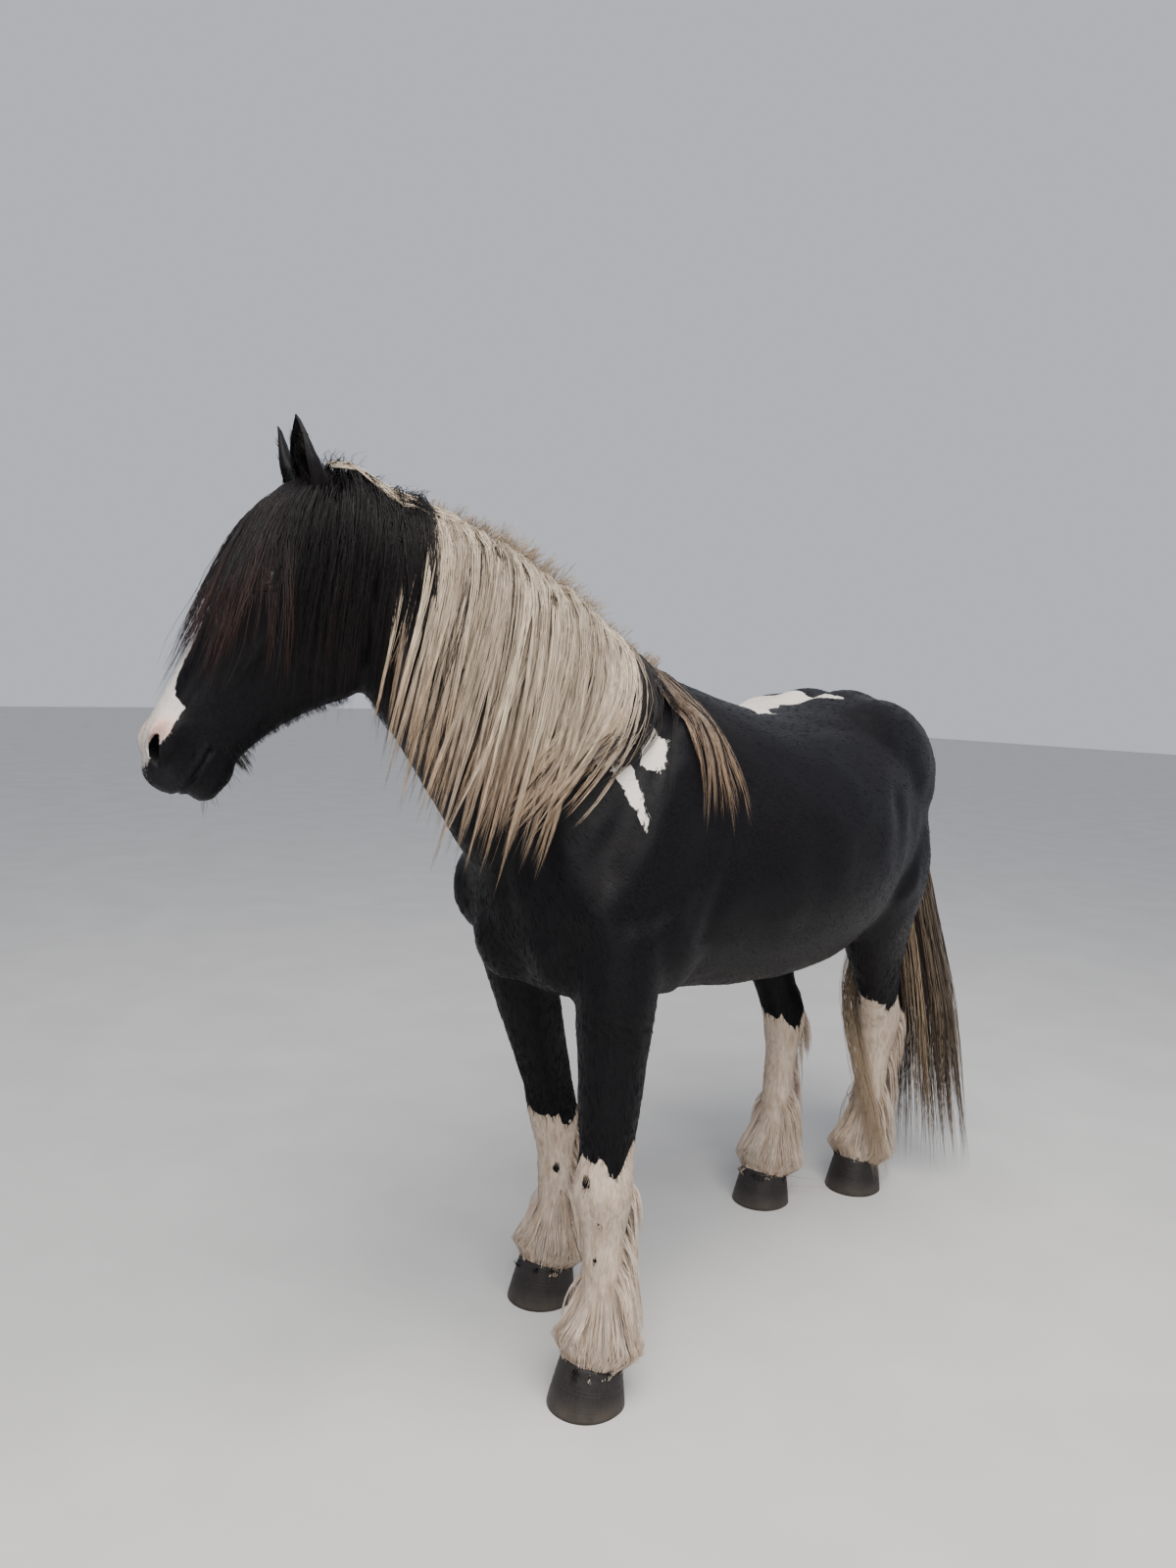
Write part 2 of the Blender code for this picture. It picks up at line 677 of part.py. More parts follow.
def lock(name, path, width, thickness, home, outwards):
    """One flat, tapered lock of hair along a path of points, with its broad face outward."""
    last = len(path) - 1
    rings = []
    for i, point in enumerate(path[:-1]):
        direction = (path[i + 1] - path[max(i - 1, 0)]).normalized()
        across, out = frame_along(direction, outwards[i])
        share = i / last
        half = width / 2 * (0.62 + 1.5 * share - 1.95 * share * share)
        deep = thickness / 2 * (1.0 - 0.45 * share)
        rings.append([point + across * half, point + out * deep, point - across * half, point - out * deep])
    rings.append([path[-1]])
    return loft(name, rings, home)


def skin_tree(objects):
    """A search tree over the faces of these objects."""
    shape = bmesh.new()
    for obj in objects:
        shape.from_mesh(obj.data)
    tree = BVHTree.FromBMesh(shape)
    shape.free()
    return tree


def clear_of(tree, point, clearance):
    """The point moved out of the skin to that clearance, and the way out there."""
    place, normal, _, distance = tree.find_nearest(point)
    inside = (point - place).dot(normal) < 0
    if inside or distance < clearance:
        return place + normal * clearance, normal
    return point, (point - place).normalized()


def fall(tree, start, first, length, stations, clearance, sway, pull=Vector((0, 0, -1)), stiff=0.35,
         later=0.0):
    """A path that leaves start along first, bends to the pull, turns along X later on and slides over the skin."""
    fine = 24
    step = length / fine
    keep = 1 - (1 - stiff) * 10 / fine
    heading = Vector(first).normalized()
    points, ways = [Vector(start)], [clear_of(tree, Vector(start), clearance)[1]]
    for i in range(fine):
        wave = sway * math.sin(2.2 * (i + 1) / fine * math.pi * 0.5)
        turned = pull + wave * 0.4 + Vector((later * (i + 1) / fine, 0, 0))
        heading = (heading * keep + turned * (1 - keep)).normalized()
        rise = clearance * min(1.0, (i + 1) / 4)
        place, way = clear_of(tree, points[-1] + heading * step, rise)
        place.z = max(place.z, TIP_FLOOR)
        heading = (place - points[-1]).normalized()
        points.append(place)
        ways.append(way)
    picks = [round(fine * (i / stations) ** 1.35) for i in range(stations + 1)]
    picks = sorted(set(picks))
    path = [points[i].copy() for i in picks]
    outs = [ways[i] for i in picks]
    for again in range(2):
        for i in range(2, len(path)):
            a, b = path[i - 1], path[i]
            for share in (0.3, 0.5, 0.7):
                middle = a.lerp(b, share)
                freed, way = clear_of(tree, middle, clearance * 0.8)
                lack = (freed - middle).length
                if lack > 1e-5:
                    path[i] = path[i] + way * lack * 0.5
                    path[i - 1] = path[i - 1] + way * lack * 0.5
    return path, outs


def body_parts(flesh, home):
    """Divides the flesh into trunk, neck, head and the two halves of each leg."""
    parts = {}
    for leg, joints in LEGS.items():
        y0, y1 = (-0.45, 0.0) if leg.endswith("left") else (0.0, 0.45)
        x0, x1 = (-0.95, -0.22) if leg.startswith("front") else (0.22, 1.05)
        side = -1 if leg.endswith("left") else 1

        def shank(grow):
            return prism("cut", (x0, y0, -0.2), (x1, y1, KNEE_CUT), home, None, grow)

        def elbow_height(x, y):
            return 0.665 + 0.476 * side * y

        def stifle_height(x, y):
            return 0.775 + 0.28 * (x - 0.5)

        def forearm(grow):
            return prism("cut", (x0, y0, -0.2), (x1, y1, 0), home, elbow_height, grow)

        def gaskin(grow):
            return prism("cut", (x0, y0, -0.2), (x1, y1, 0), home, stifle_height, grow)

        parts[f"{leg}_shank"] = split(flesh, f"{leg}_shank", shank, home)
        upper = forearm if leg.startswith("front") else gaskin
        parts[f"{leg}_thigh"] = split(flesh, f"{leg}_thigh", upper, home)
        crown, up = coronet_plane(joints)
        foot = half_space("cut", crown, -up, home, 0.2, -GAP / 2)
        boolean(parts[f"{leg}_shank"], [foot], "DIFFERENCE")
        remove([foot])
        largest_shell(parts[f"{leg}_shank"])
    for name, (point, normal), reach in (("head", HEAD_CUT, 0.5), ("neck", NECK_CUT, 1.0)):

        def beyond(grow):
            return half_space("cut", point, normal, home, reach, grow)

        parts[name] = split(flesh, name, beyond, home)
    parts["torso"] = copy_of(flesh, "torso", home)
    return parts


def grown(objects, home, by=0.00042):
    """Copies of these objects with their skin moved out by a little more than the gap."""
    made = []
    for obj in objects:
        copy = copy_of(obj, "grown", home)
        for vert, normal in zip(copy.data.vertices, [v.normal.copy() for v in copy.data.vertices]):
            vert.co += normal * by
        made.append(copy)
    return made


def cut_clear(obj, others, home):
    """Cuts the others, grown by the gap, from obj one after another."""
    for cutter in grown(others, home):
        boolean(obj, [cutter], "DIFFERENCE")
        remove([cutter])
    return largest_shell(obj)


def extruded(name, outline, axes, depth, home):
    """A prism from an outline of (a, b) points: axes gives its place and its three directions."""
    origin, first, second, third = axes
    rings = []
    for reach in depth:
        rings.append([origin + first * a + second * b + third * reach for a, b in outline])
    return loft(name, rings, home)


def eye_axes(side):
    """The eye's centre, the ways along the lids and across them, and the way it looks."""
    frame = head_matrix().to_3x3()
    u, v, w = EYE_PLACE
    look = (frame.col[2] * -side * 0.93 + frame.col[1] * 0.34 + frame.col[0] * 0.10).normalized()
    along = frame.col[0] * 0.86 + frame.col[1] * 0.50
    along = (along - look * along.dot(look)).normalized()
    return on_head(u, v, -side * w), along, look.cross(along), look


def almond(half_length, half_height, sides=16):
    """The outline of the opening between the lids."""
    outline = []
    for i in range(sides):
        angle = 2 * math.pi * i / sides
        a = math.cos(angle)
        outline.append((a * half_length, math.sin(angle) * half_height * (1 - 0.35 * abs(a) ** 3)))
    return outline


def nostril_matrix(side):
    """The matrix of the hollow of a nostril in the head's frame: its length, its width and its depth."""
    u, v, w = NOSTRIL_FACING
    facing = Vector((u, v, -side * w)).normalized()
    down = Vector(NOSTRIL_DOWN)
    down = (down - facing * down.dot(facing)).normalized()
    turn = Matrix((down, facing.cross(down), facing)).transposed().to_4x4()
    u, v, w = NOSTRIL_PLACE
    return stretched(Vector((u, v, -side * w)), NOSTRIL_RADII, turn)


def head_details(head, home):
    """Lids around both eyes, nostrils, the line of the mouth; and the two eyes."""
    eyes = []
    for side in (LEFT, RIGHT):
        centre, along, across, look = eye_axes(side)
        brow = ball("lid", stretched(centre - look * 0.003, (EYE_RADIUS + 0.006,) * 3), home, 16)
        boolean(head, [brow], "UNION")
        axes = (centre, along, across, look)
        opening = extruded("opening", almond(*LID_OPENING), axes, (0.0, 0.05), home)
        socket = ball("socket", Matrix.Translation(centre) @ Matrix.Scale(EYE_RADIUS + GAP, 4), home, 12)
        boolean(head, [opening], "DIFFERENCE")
        boolean(head, [socket], "DIFFERENCE")
        remove([brow, opening, socket])
        name = "eye_left" if side == LEFT else "eye_right"
        eyes.append(ball(name, Matrix.Translation(centre) @ Matrix.Scale(EYE_RADIUS - GAP, 4), home, 12))
        frame = head_matrix()
        nostril = ball("nostril", frame @ nostril_matrix(side), home, 12)
        boolean(head, [nostril], "DIFFERENCE")
        remove([nostril])
    mouth_line(head, home)
    largest_shell(head)
    return eyes


def mouth_line(head, home):
    """A shallow groove between the lips, from the front of the muzzle back to its corners."""
    frame = head_matrix()
    rings = [[frame @ Vector((u, v, w)) for u, v in MOUTH] for w in (-0.09, 0.09)]
    slit = loft("slit", rings, home)
    place, radii = MOUTH_CORE
    core = ball("core", frame @ stretched(Vector(place), radii), home, 14)
    boolean(slit, [core], "DIFFERENCE")
    boolean(head, [slit], "DIFFERENCE")
    remove([slit, core])


def ear_frame(side):
    """The ear's base, the way up it, the way it faces and the way across it."""
    frame = head_matrix().to_3x3()
    u, v, w = EAR_PLACE
    base = on_head(u, v, -side * w)
    out = frame.col[2] * -side
    up = (Vector((0, 0, 1)) + out * 0.12 + frame.col[1] * 0.62).normalized()
    facing = frame.col[1] * 0.95 + out * 0.22
    facing = (facing - up * facing.dot(up)).normalized()
    return base, up, facing, up.cross(facing)


def make_ear(name, side, home):
    """A leaf-shaped ear, hollow in front, with its edges brought together at the tip."""
    base, up, facing, across = ear_frame(side)
    rings, hollow = [], []
    for share, half_width, depth in EAR_SHAPE:
        middle = base + up * (EAR_LENGTH * share) + facing * (0.012 * math.sin(math.pi * share))
        rings.append(oval(middle, across, facing, half_width, depth, depth, 12, 2.0))
        if share < 0.97:
            inside = middle + facing * (depth * 0.75)
            hollow.append(oval(inside, across, facing, half_width * 0.74, depth * 1.1, depth * 1.15, 10, 2.0))
    rings.append([base + up * EAR_LENGTH])
    hollow.append([base + up * (EAR_LENGTH * 0.965) + facing * 0.010])
    ear = loft(name, rings, home)
    cup = loft("cup", hollow[2:], home)
    boolean(ear, [cup], "DIFFERENCE")
    remove([cup])
    return largest_shell(ear)


def crest_at(share):
    """A place on the crest, from the withers (0) to the poll (1), with the ways up and to the left."""
    frames = neck_frames()
    place = share * (len(frames) - 1)
    i = min(int(place), len(frames) - 2)
    t = place - i
    one, two = frames[i], frames[i + 1]
    centre = one[0].lerp(two[0], t)
    side = one[1].lerp(two[1], t).normalized()
    up = one[2].lerp(two[2], t).normalized()
    if side.y > 0:
        side = -side
    return centre + up * (one[4] + (two[4] - one[4]) * t), up, side


def on_crest(tree, share, sink=0.0):
    """The same place moved onto the skin, less sink."""
    place, up, left = crest_at(share)
    hit, _, _, _ = tree.ray_cast(place + up * 0.3, -up)
    return (hit or place) - up * sink, up, left


def ridge(name, tree, shares, half_width, height, home):
    """The dense root of the mane, a low ridge along the crest."""
    rings = []
    for i, share in enumerate(shares):
        place, up, left = on_crest(tree, share, 0.012)
        taper = 0.45 + 0.55 * math.sin(math.pi * min(max(i / (len(shares) - 1), 0.08), 0.92))
        rise = (height + 0.012) * taper
        rings.append(oval(place + left * 0.008, left, up, half_width * taper, rise, 0.006, 10))
    return loft(name, rings, home)


def between(low, high, dice):
    """A random number between the two."""
    return low + (high - low) * dice.random()


def read_off(rows, share):
    """The size at this share, on straight lines between the rows."""
    for (low, a), (high, b) in zip(rows, rows[1:]):
        if share <= high:
            return a + (b - a) * max(0, (share - low) / (high - low))
    return rows[-1][1]


def mane(tree, home):
    """The fair mane, which falls to the left from the crest, swings forward and ends at the withers."""
    dice = random.Random(11)
    low, high = MANE_ROOT
    root = ridge("mane", tree, [low + (high - low) * i / 11 for i in range(12)], 0.034, 0.022, home)
    hangs = []
    for i in range(MANE_LOCKS):
        share = MANE_START + (MANE_END - MANE_START) * (i + 0.5) / MANE_LOCKS
        forward = read_off([row[:2] for row in MANE_SWINGS], share)
        later = read_off([(row[0], row[2]) for row in MANE_SWINGS], share)
        hangs.append((share, read_off(MANE_LENGTHS, share), forward, later))
    locks = []
    for i, (share, length, forward, later) in enumerate(list(REAR_LOCKS) + hangs):
        start, up, left = on_crest(tree, share, 0.004)
        length *= between(0.86, 1.06, dice)
        along = crest_at(min(1, share + 0.03))[0] - crest_at(share)[0]
        sway = along.normalized() * between(-0.12, 0.28, dice)
        first = left + up * 0.35 + sway * 0.3
        clearance = 0.008 + 0.010 * (i % 2)
        pull = Vector((forward, 0, -1))
        path, ways = fall(tree, start - up * 0.004, first, length, 6, clearance, sway, pull, later=later)
        width = MANE_WIDTH * between(0.8, 1.15, dice)
        locks.append(lock("strand", path, width, 0.011, home, ways))
    return unite(root, locks)


def poll_row(tree):
    """Places with their ways up and to the left, from the crest over the poll to between the ears."""
    frame = head_matrix().to_3x3()
    rows = []
    for share in (0.925, 0.985):
        place, up, left = on_crest(tree, share)
        rows.append((*place, *up, *left))
    for u, v in ((-0.065, 0.035), (-0.034, 0.058)):
        guess = on_head(u, v, 0)
        place, up, _, _ = tree.find_nearest(guess)
        rows.append((*place, *up, *frame.col[2]))
    made = []
    for row in smooth_between(rows, 3):
        place, up, left = Vector(row[:3]), Vector(row[3:6]).normalized(), Vector(row[6:]).normalized()
        made.append((place, up, left))
    return made


def poll_mane(tree, home):
    """The black mane behind the ears, which lies over the cheek on the left."""
    dice = random.Random(5)
    row = poll_row(tree)
    last = len(row) - 1
    rings = []
    for i, (place, up, left) in enumerate(row):
        taper = 0.5 + 0.5 * math.sin(math.pi * min(max(i / last, 0.1), 0.9))
        rings.append(oval(place - up * 0.010 + left * 0.006, left, up, 0.030 * taper, 0.036 * taper, 0.006, 10))
    root = loft("mane_poll", rings, home)
    locks = []
    for i in range(POLL_LOCKS):
        place, up, left = row[round(last * (i + 0.5) / POLL_LOCKS)]
        sway = Vector((-0.94, 0.34, 0)) * between(0.0, 0.5, dice)
        path, ways = fall(tree, place - up * 0.006, left + up * 0.35, 0.42 * between(0.78, 1.05, dice), 6,
                          0.007 + 0.010 * (i % 2), sway)
        locks.append(lock("strand", path, 0.054 * between(0.85, 1.1, dice), 0.011, home, ways))
    return unite(root, locks)


def forelock(tree, home):
    """The forelock, from between the ears down over the forehead and the left eye."""
    dice = random.Random(7)
    frame = head_matrix().to_3x3()
    rings = []
    for share in (-1.0, -0.6, -0.2, 0.2, 0.6, 1.0):
        size = math.sqrt(1.04 - share * share)
        place = on_head(0.012, 0.074, 0.034 * share)
        rings.append(oval(place, frame.col[0], frame.col[1], 0.026 * size, 0.030 * size, 0.010, 10))
    root = loft("forelock", rings, home)
    locks = []
    face = (frame.col[0] * 0.9 - frame.col[1] * 0.15).normalized()
    for i in range(FORELOCK_LOCKS):
        spread = -1 + 2 * (i + 0.5) / FORELOCK_LOCKS
        start = on_head(0.014, 0.076, 0.032 * spread)
        first = frame.col[0] * 0.55 + frame.col[1] * 0.60 + frame.col[2] * 0.30 * spread
        sway = frame.col[2] * (0.75 * spread + 0.28)
        weight = FORELOCK_WEIGHT * max(0, spread)
        pull = face * (1 - weight) - Vector((0, 0, weight))
        path, ways = fall(tree, start, first, FORELOCK_LENGTH * between(0.7, 1.08, dice), 6,
                          0.007 + 0.013 * (i % 2), sway, pull)
        locks.append(lock("strand", path, 0.036 * between(0.8, 1.15, dice), 0.010, home, ways))
    return unite(root, locks)


def tail(tree, home):
    """The tail: long hair around the dock, down almost to the ground."""
    dice = random.Random(3)
    rows = smooth_between(TAIL_CORE, 2)
    points = [Vector(row[:3]) for row in rows]
    rings = []
    for i, row in enumerate(rows):
        along = (points[min(i + 1, len(rows) - 1)] - points[max(i - 1, 0)]).normalized()
        side = Vector((0, 1, 0))
        rings.append(oval(points[i], side, side.cross(along), row[3], row[4], row[4], 10))
    root = loft("tail", rings, home)
    locks = []
    for i in range(TAIL_LOCKS):
        angle = 2 * math.pi * i / TAIL_LOCKS
        row = rows[2 if i % 2 == 0 else 5]
        out = Vector((math.sin(angle), math.cos(angle), 0))
        start = Vector((row[0] + out.x * row[4] * 0.5, row[1] + out.y * row[3] * 0.5, row[2]))
        reach = between(0.90, 1.02, dice)
        flare = between(-0.2, 1.0, dice)
        path = []
        for k in range(6):
            t = k / 5
            height = row[2] + (0.03 + (1 - reach) * row[2] - row[2]) * t
            middle = tail_line(rows, height)
            spread = 0.5 + min(1, t * 4) * 0.62 - 0.35 * t + 0.55 * flare * t * t
            aside = Vector((out.x * row[4], out.y * row[3], 0)) * spread
            path.append(Vector((middle.x, middle.y, height)) + aside)
        path[0] = start
        width = TAIL_WIDTH * between(0.8, 1.15, dice)
        locks.append(lock("strand", path, width, 0.020, home, [out] * len(path)))
    return unite(root, locks)


def tail_strand(home):
    """A thin part of the tail, which passes between the hind legs and hangs before the left one."""
    locks = []
    for i in range(INNER_LOCKS):
        aside = Vector((0.026, -0.012, -0.010)) * i
        path = [Vector(p) + aside * min(1, k / 3) for k, p in enumerate(INNER_LOCK)]
        locks.append(lock("tail_strand", path, 0.056, 0.014, home, [Vector((-0.7, -0.7, 0))] * len(path)))
    return unite(locks[0], locks[1:])


def tail_line(rows, height):
    """The middle of the tail at a height; below its core it goes on towards the left."""
    for a, b in zip(rows, rows[1:]):
        if a[2] >= height >= b[2]:
            return Vector(a[:3]).lerp(Vector(b[:3]), (a[2] - height) / (a[2] - b[2]))
    drop = rows[-1][2] - height
    return Vector((rows[-1][0] + 0.02 * drop, rows[-1][1] - 0.09 * drop, height))


def feather(name, joints, tree, home, seed):
    """The long hair of one foot: a sleeve from the knee or hock that opens like a bell over the hoof."""
    dice = random.Random(seed)
    crown = Vector(joints[3])
    middle = Vector(joints[2])
    knee = Vector(joints[1])
    rings = []
    for share, half_width, fore, aft in FEATHER_CORE:
        if share < 1:
            place = knee.lerp(middle, share)
        else:
            place = middle.lerp(crown, share - 1)
        rings.append(oval(place, Vector((0, 1, 0)), Vector((-1, 0, 0)), half_width, fore, aft, 12))
    root = loft(name, rings, home)
    locks = []
    for share, count, length, clearance in FEATHER_ROWS:
        place = knee.lerp(middle, share) if share < 1 else middle.lerp(crown, share - 1)
        for i in range(count):
            turn = (i + 0.5 * between(0.3, 1.7, dice)) / count
            span = math.pi * (1.0 if share > 0.9 else 0.62 if share > 0.3 else 0.30)
            angle = (turn * 2 - 1) * span
            out = Vector((math.cos(angle), math.sin(angle), 0))
            hit, _, _, _ = tree.ray_cast(place + out * 0.3, -out)
            start = (hit or place) + out * 0.001
            first = out * 0.75 + Vector((0, 0, -0.75))
            spread = out * (0.62 if share > 0.9 else 0.30)
            back = Vector((0.10, 0, 0)) if share < 0.9 else Vector((0, 0, 0))
            reach = length * between(0.85, 1.1, dice)
            path, ways = fall(tree, start, first, reach, 3, clearance, spread + back, stiff=0.25)
            locks.append(lock("strand", path, FEATHER_WIDTH * between(0.8, 1.15, dice), 0.011, home,
                              [out] * len(ways)))
    return unite(root, locks)


def beard(tree, home):
    """A few wisps under the jaw behind the chin."""
    dice = random.Random(9)
    frame = head_matrix().to_3x3()
    rings = []
    for share in (-1.0, -0.5, 0.0, 0.5, 1.0):
        size = math.sqrt(1.05 - share * share)
        place = on_head(0.452 + 0.050 * share, -0.104 - 0.003 * share, 0)
        rings.append(oval(place, frame.col[2], frame.col[1], 0.012 * size, 0.010, 0.014 * size, 8))
    root = loft("beard", rings, home)
    locks = []
    for i in range(BEARD_LOCKS):
        spread = -1 + 2 * (i + 0.5) / BEARD_LOCKS
        start = on_head(0.455 + 0.040 * spread, -0.106, 0.006 * (i % 3 - 1))
        first = frame.col[0] * 0.2 - frame.col[1]
        path, ways = fall(tree, start, first, BEARD_LENGTH * between(0.6, 1.1, dice), 4,
                          0.003, frame.col[2] * between(-0.3, 0.3, dice) - frame.col[0] * 0.2)
        locks.append(lock("strand", path, 0.018, 0.007, home, [frame.col[2]] * len(ways)))
    return unite(root, locks)


def unite(root, locks):
    """Fuses the locks with their root into one body."""
    boolean(root, locks, "UNION")
    remove(locks)
    return largest_shell(root)


def finish(parts, materials):
    """Smooth shading, one material each, and the whole set on its own centre."""
    low = Vector([min(v.co[k] for part in parts.values() for v in part.data.vertices) for k in range(3)])
    high = Vector([max(v.co[k] for part in parts.values() for v in part.data.vertices) for k in range(3)])
    middle = (low + high) / 2
    shift = Matrix.Translation((-middle.x, -middle.y, 0))
    for name, part in parts.items():
        part.data.transform(shift)
        part.name = part.data.name = name
        part.data.materials.clear()
        part.data.materials.append(material(materials[name]))
        for polygon in part.data.polygons:
            polygon.use_smooth = True


def main():
    clear_scene()
    cob = collection("gypsy_cob")
    flesh = make_flesh(cob)
    parts = body_parts(flesh, cob)
    bpy.data.objects.remove(flesh)
    for leg, joints in LEGS.items():
        parts[f"{leg}_hoof"] = make_hoof(f"{leg}_hoof", joints, cob)
    eyes = head_details(parts["head"], cob)
    parts["eye_left"], parts["eye_right"] = eyes
    for name, side in (("ear_left", LEFT), ("ear_right", RIGHT)):
        parts[name] = cut_clear(make_ear(name, side, cob), [parts["head"], parts["neck"]], cob)
    parts["dock"] = cut_clear(loft("dock", dock_rings(), cob), [parts["torso"]], cob)
    tree = skin_tree(parts.values())
    ears = [parts["ear_left"], parts["ear_right"]]
    parts["forelock"] = cut_clear(forelock(tree, cob), [parts["head"]] + ears, cob)
    parts["mane_poll"] = cut_clear(poll_mane(tree, cob),
                                   [parts["head"], parts["neck"], parts["forelock"]] + ears, cob)
    parts["mane"] = cut_clear(mane(tree, cob),
                              [parts["neck"], parts["torso"], parts["head"], parts["mane_poll"]], cob)
    parts["beard"] = cut_clear(beard(tree, cob), [parts["head"]], cob)
    parts["tail"] = cut_clear(tail(tree, cob), [parts["dock"], parts["torso"]], cob)
    legs = [parts[f"hind_left_{half}"] for half in ("thigh", "shank")]
    parts["tail_strand"] = cut_clear(tail_strand(cob), [parts["tail"], parts["torso"]] + legs, cob)
    for seed, (leg, joints) in enumerate(LEGS.items()):
        name = f"{leg}_feather"
        made = feather(name, joints, tree, cob, 20 + seed)
        beside = [parts["tail_strand"]] if leg == "hind_left" else []
        parts[name] = cut_clear(made, [parts[f"{leg}_shank"], parts[f"{leg}_hoof"]] + beside, cob)
    looks = {}
    for name in parts:
        if name in LOOKS:
            looks[name] = LOOKS[name]
        else:
            kind = name.rsplit("_", 1)[-1]
            looks[name] = LEG_LOOKS[kind]
    finish(parts, looks)


main()
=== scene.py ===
"""A life-size gypsy cob, black and white, that stands and looks to its right: hide, hair, hooves and eyes.

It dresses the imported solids. Metres, +Z up; the animal faces -X and its left side is at -Y.
"""
import math

import bmesh
import bpy
import numpy as np
from mathutils import Matrix, Vector
from mathutils.bvhtree import BVHTree


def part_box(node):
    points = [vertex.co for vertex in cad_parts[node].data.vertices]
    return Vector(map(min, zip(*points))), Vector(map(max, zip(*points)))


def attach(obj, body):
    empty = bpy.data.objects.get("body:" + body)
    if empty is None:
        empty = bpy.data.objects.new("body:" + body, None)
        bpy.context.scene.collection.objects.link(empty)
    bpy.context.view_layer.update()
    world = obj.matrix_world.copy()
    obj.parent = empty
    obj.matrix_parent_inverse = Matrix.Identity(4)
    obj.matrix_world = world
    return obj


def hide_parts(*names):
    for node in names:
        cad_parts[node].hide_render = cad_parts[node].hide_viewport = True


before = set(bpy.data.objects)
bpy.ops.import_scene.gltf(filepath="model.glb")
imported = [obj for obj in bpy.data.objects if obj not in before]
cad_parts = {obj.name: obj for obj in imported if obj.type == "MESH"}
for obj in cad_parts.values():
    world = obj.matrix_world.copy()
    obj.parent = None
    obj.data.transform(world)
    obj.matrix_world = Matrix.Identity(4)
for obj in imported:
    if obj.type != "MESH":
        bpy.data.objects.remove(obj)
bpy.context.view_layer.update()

# Sizes shared with the solids, in the frame that the animal was laid out in
POLL = (-1.016, 0.226, 1.722)
HEAD_TURN = math.radians(20)
HEAD_DROP = math.radians(56.5)
HEAD_LENGTH = 0.592
HEAD = [
    (-0.040, 0.045, 0.080, 0.050),
    (0.000, 0.070, 0.140, 0.076),
    (0.060, 0.090, 0.206, 0.094),
    (0.130, 0.101, 0.242, 0.103),
    (0.200, 0.101, 0.244, 0.104),
    (0.270, 0.094, 0.214, 0.090),
    (0.340, 0.086, 0.164, 0.072),
    (0.410, 0.078, 0.126, 0.060),
    (0.480, 0.071, 0.104, 0.056),
    (0.540, 0.062, 0.098, 0.056),
    (0.575, 0.040, 0.092, 0.050),
    (HEAD_LENGTH, 0.000, 0.070, 0.030),
]
HEAD_MASSES = [
    ((0.196, 0.056, 0.074), (0.050, 0.034, 0.034)),
    ((0.165, -0.105, 0.058), (0.108, 0.122, 0.048)),
    ((0.305, -0.008, 0.060), (0.095, 0.016, 0.018)),
    ((0.530, 0.026, 0.044), (0.048, 0.036, 0.024)),
    ((0.572, -0.012, 0.012), (0.044, 0.050, 0.042)),
    ((0.556, -0.076, 0.008), (0.040, 0.032, 0.036)),
    ((0.532, -0.084, 0.006), (0.036, 0.027, 0.034)),
]
EYE_PLACE = (0.205, 0.048, 0.089)
EYE_RADIUS = 0.021
EAR_PLACE = (0.022, 0.056, 0.052)
EAR_LENGTH = 0.142
EAR_SHAPE = [
    (-0.12, 0.018, 0.018),
    (0.00, 0.026, 0.024),
    (0.12, 0.031, 0.026),
    (0.28, 0.035, 0.024),
    (0.45, 0.035, 0.021),
    (0.62, 0.030, 0.017),
    (0.78, 0.022, 0.013),
    (0.92, 0.011, 0.008),
    (1.00, 0.002, 0.002),
]
NECK = [
    ((-0.400, 0.000, 1.080), 0.320),
    ((-0.520, 0.000, 1.150), 0.305),
    ((-0.640, 0.020, 1.250), 0.275),
    ((-0.755, 0.062, 1.365), 0.242),
    ((-0.860, 0.118, 1.478), 0.212),
    ((-0.942, 0.172, 1.575), 0.176),
    ((-1.006, 0.216, 1.648), 0.120),
]
LEGS = {
    "front_left": [(-0.660, -0.172, 0.430), (-0.648, -0.170, 0.170), (-0.670, -0.170, 0.078)],
    "front_right": [(-0.432, 0.172, 0.430), (-0.424, 0.165, 0.170), (-0.446, 0.165, 0.078)],
    "hind_left": [(0.650, -0.088, 0.500), (0.648, -0.064, 0.175), (0.618, -0.060, 0.078)],
    "hind_right": [(0.440, 0.098, 0.500), (0.388, 0.082, 0.175), (0.350, 0.080, 0.078)],
}
CORONET_SLOPE = 0.30
HOOF_SHAPE = [(0.0, 0.076, 0.084, 0.070), (0.06, 0.0755, 0.083, 0.070), (1.0, 0.061, 0.062, 0.060)]
TAIL_LINE = [
    (0.672, 0.000, 1.258, 0.048, 0.040), (0.730, -0.002, 1.236, 0.060, 0.056),
    (0.772, -0.006, 1.170, 0.062, 0.058), (0.800, -0.018, 1.050, 0.064, 0.058),
    (0.822, -0.040, 0.900, 0.064, 0.058), (0.838, -0.064, 0.740, 0.066, 0.058),
    (0.848, -0.086, 0.600, 0.070, 0.060), (0.852, -0.098, 0.510, 0.072, 0.060),
    (0.856, -0.117, 0.300, 0.074, 0.058), (0.861, -0.141, 0.030, 0.076, 0.056),
]
INNER_STRAND = [
    (0.806, -0.030, 0.940), (0.745, 0.010, 0.810), (0.675, 0.016, 0.690), (0.606, 0.004, 0.560),
    (0.576, -0.040, 0.420), (0.572, -0.088, 0.280), (0.570, -0.126, 0.160), (0.578, -0.146, 0.050),
]
TIP_FLOOR = 0.006

# How fine the two forms of the skin are, and how often each is evened out
BODY_VOXEL = 0.0125
BODY_EASE = 36
HEAD_VOXEL = 0.0035
HEAD_EASE = 26
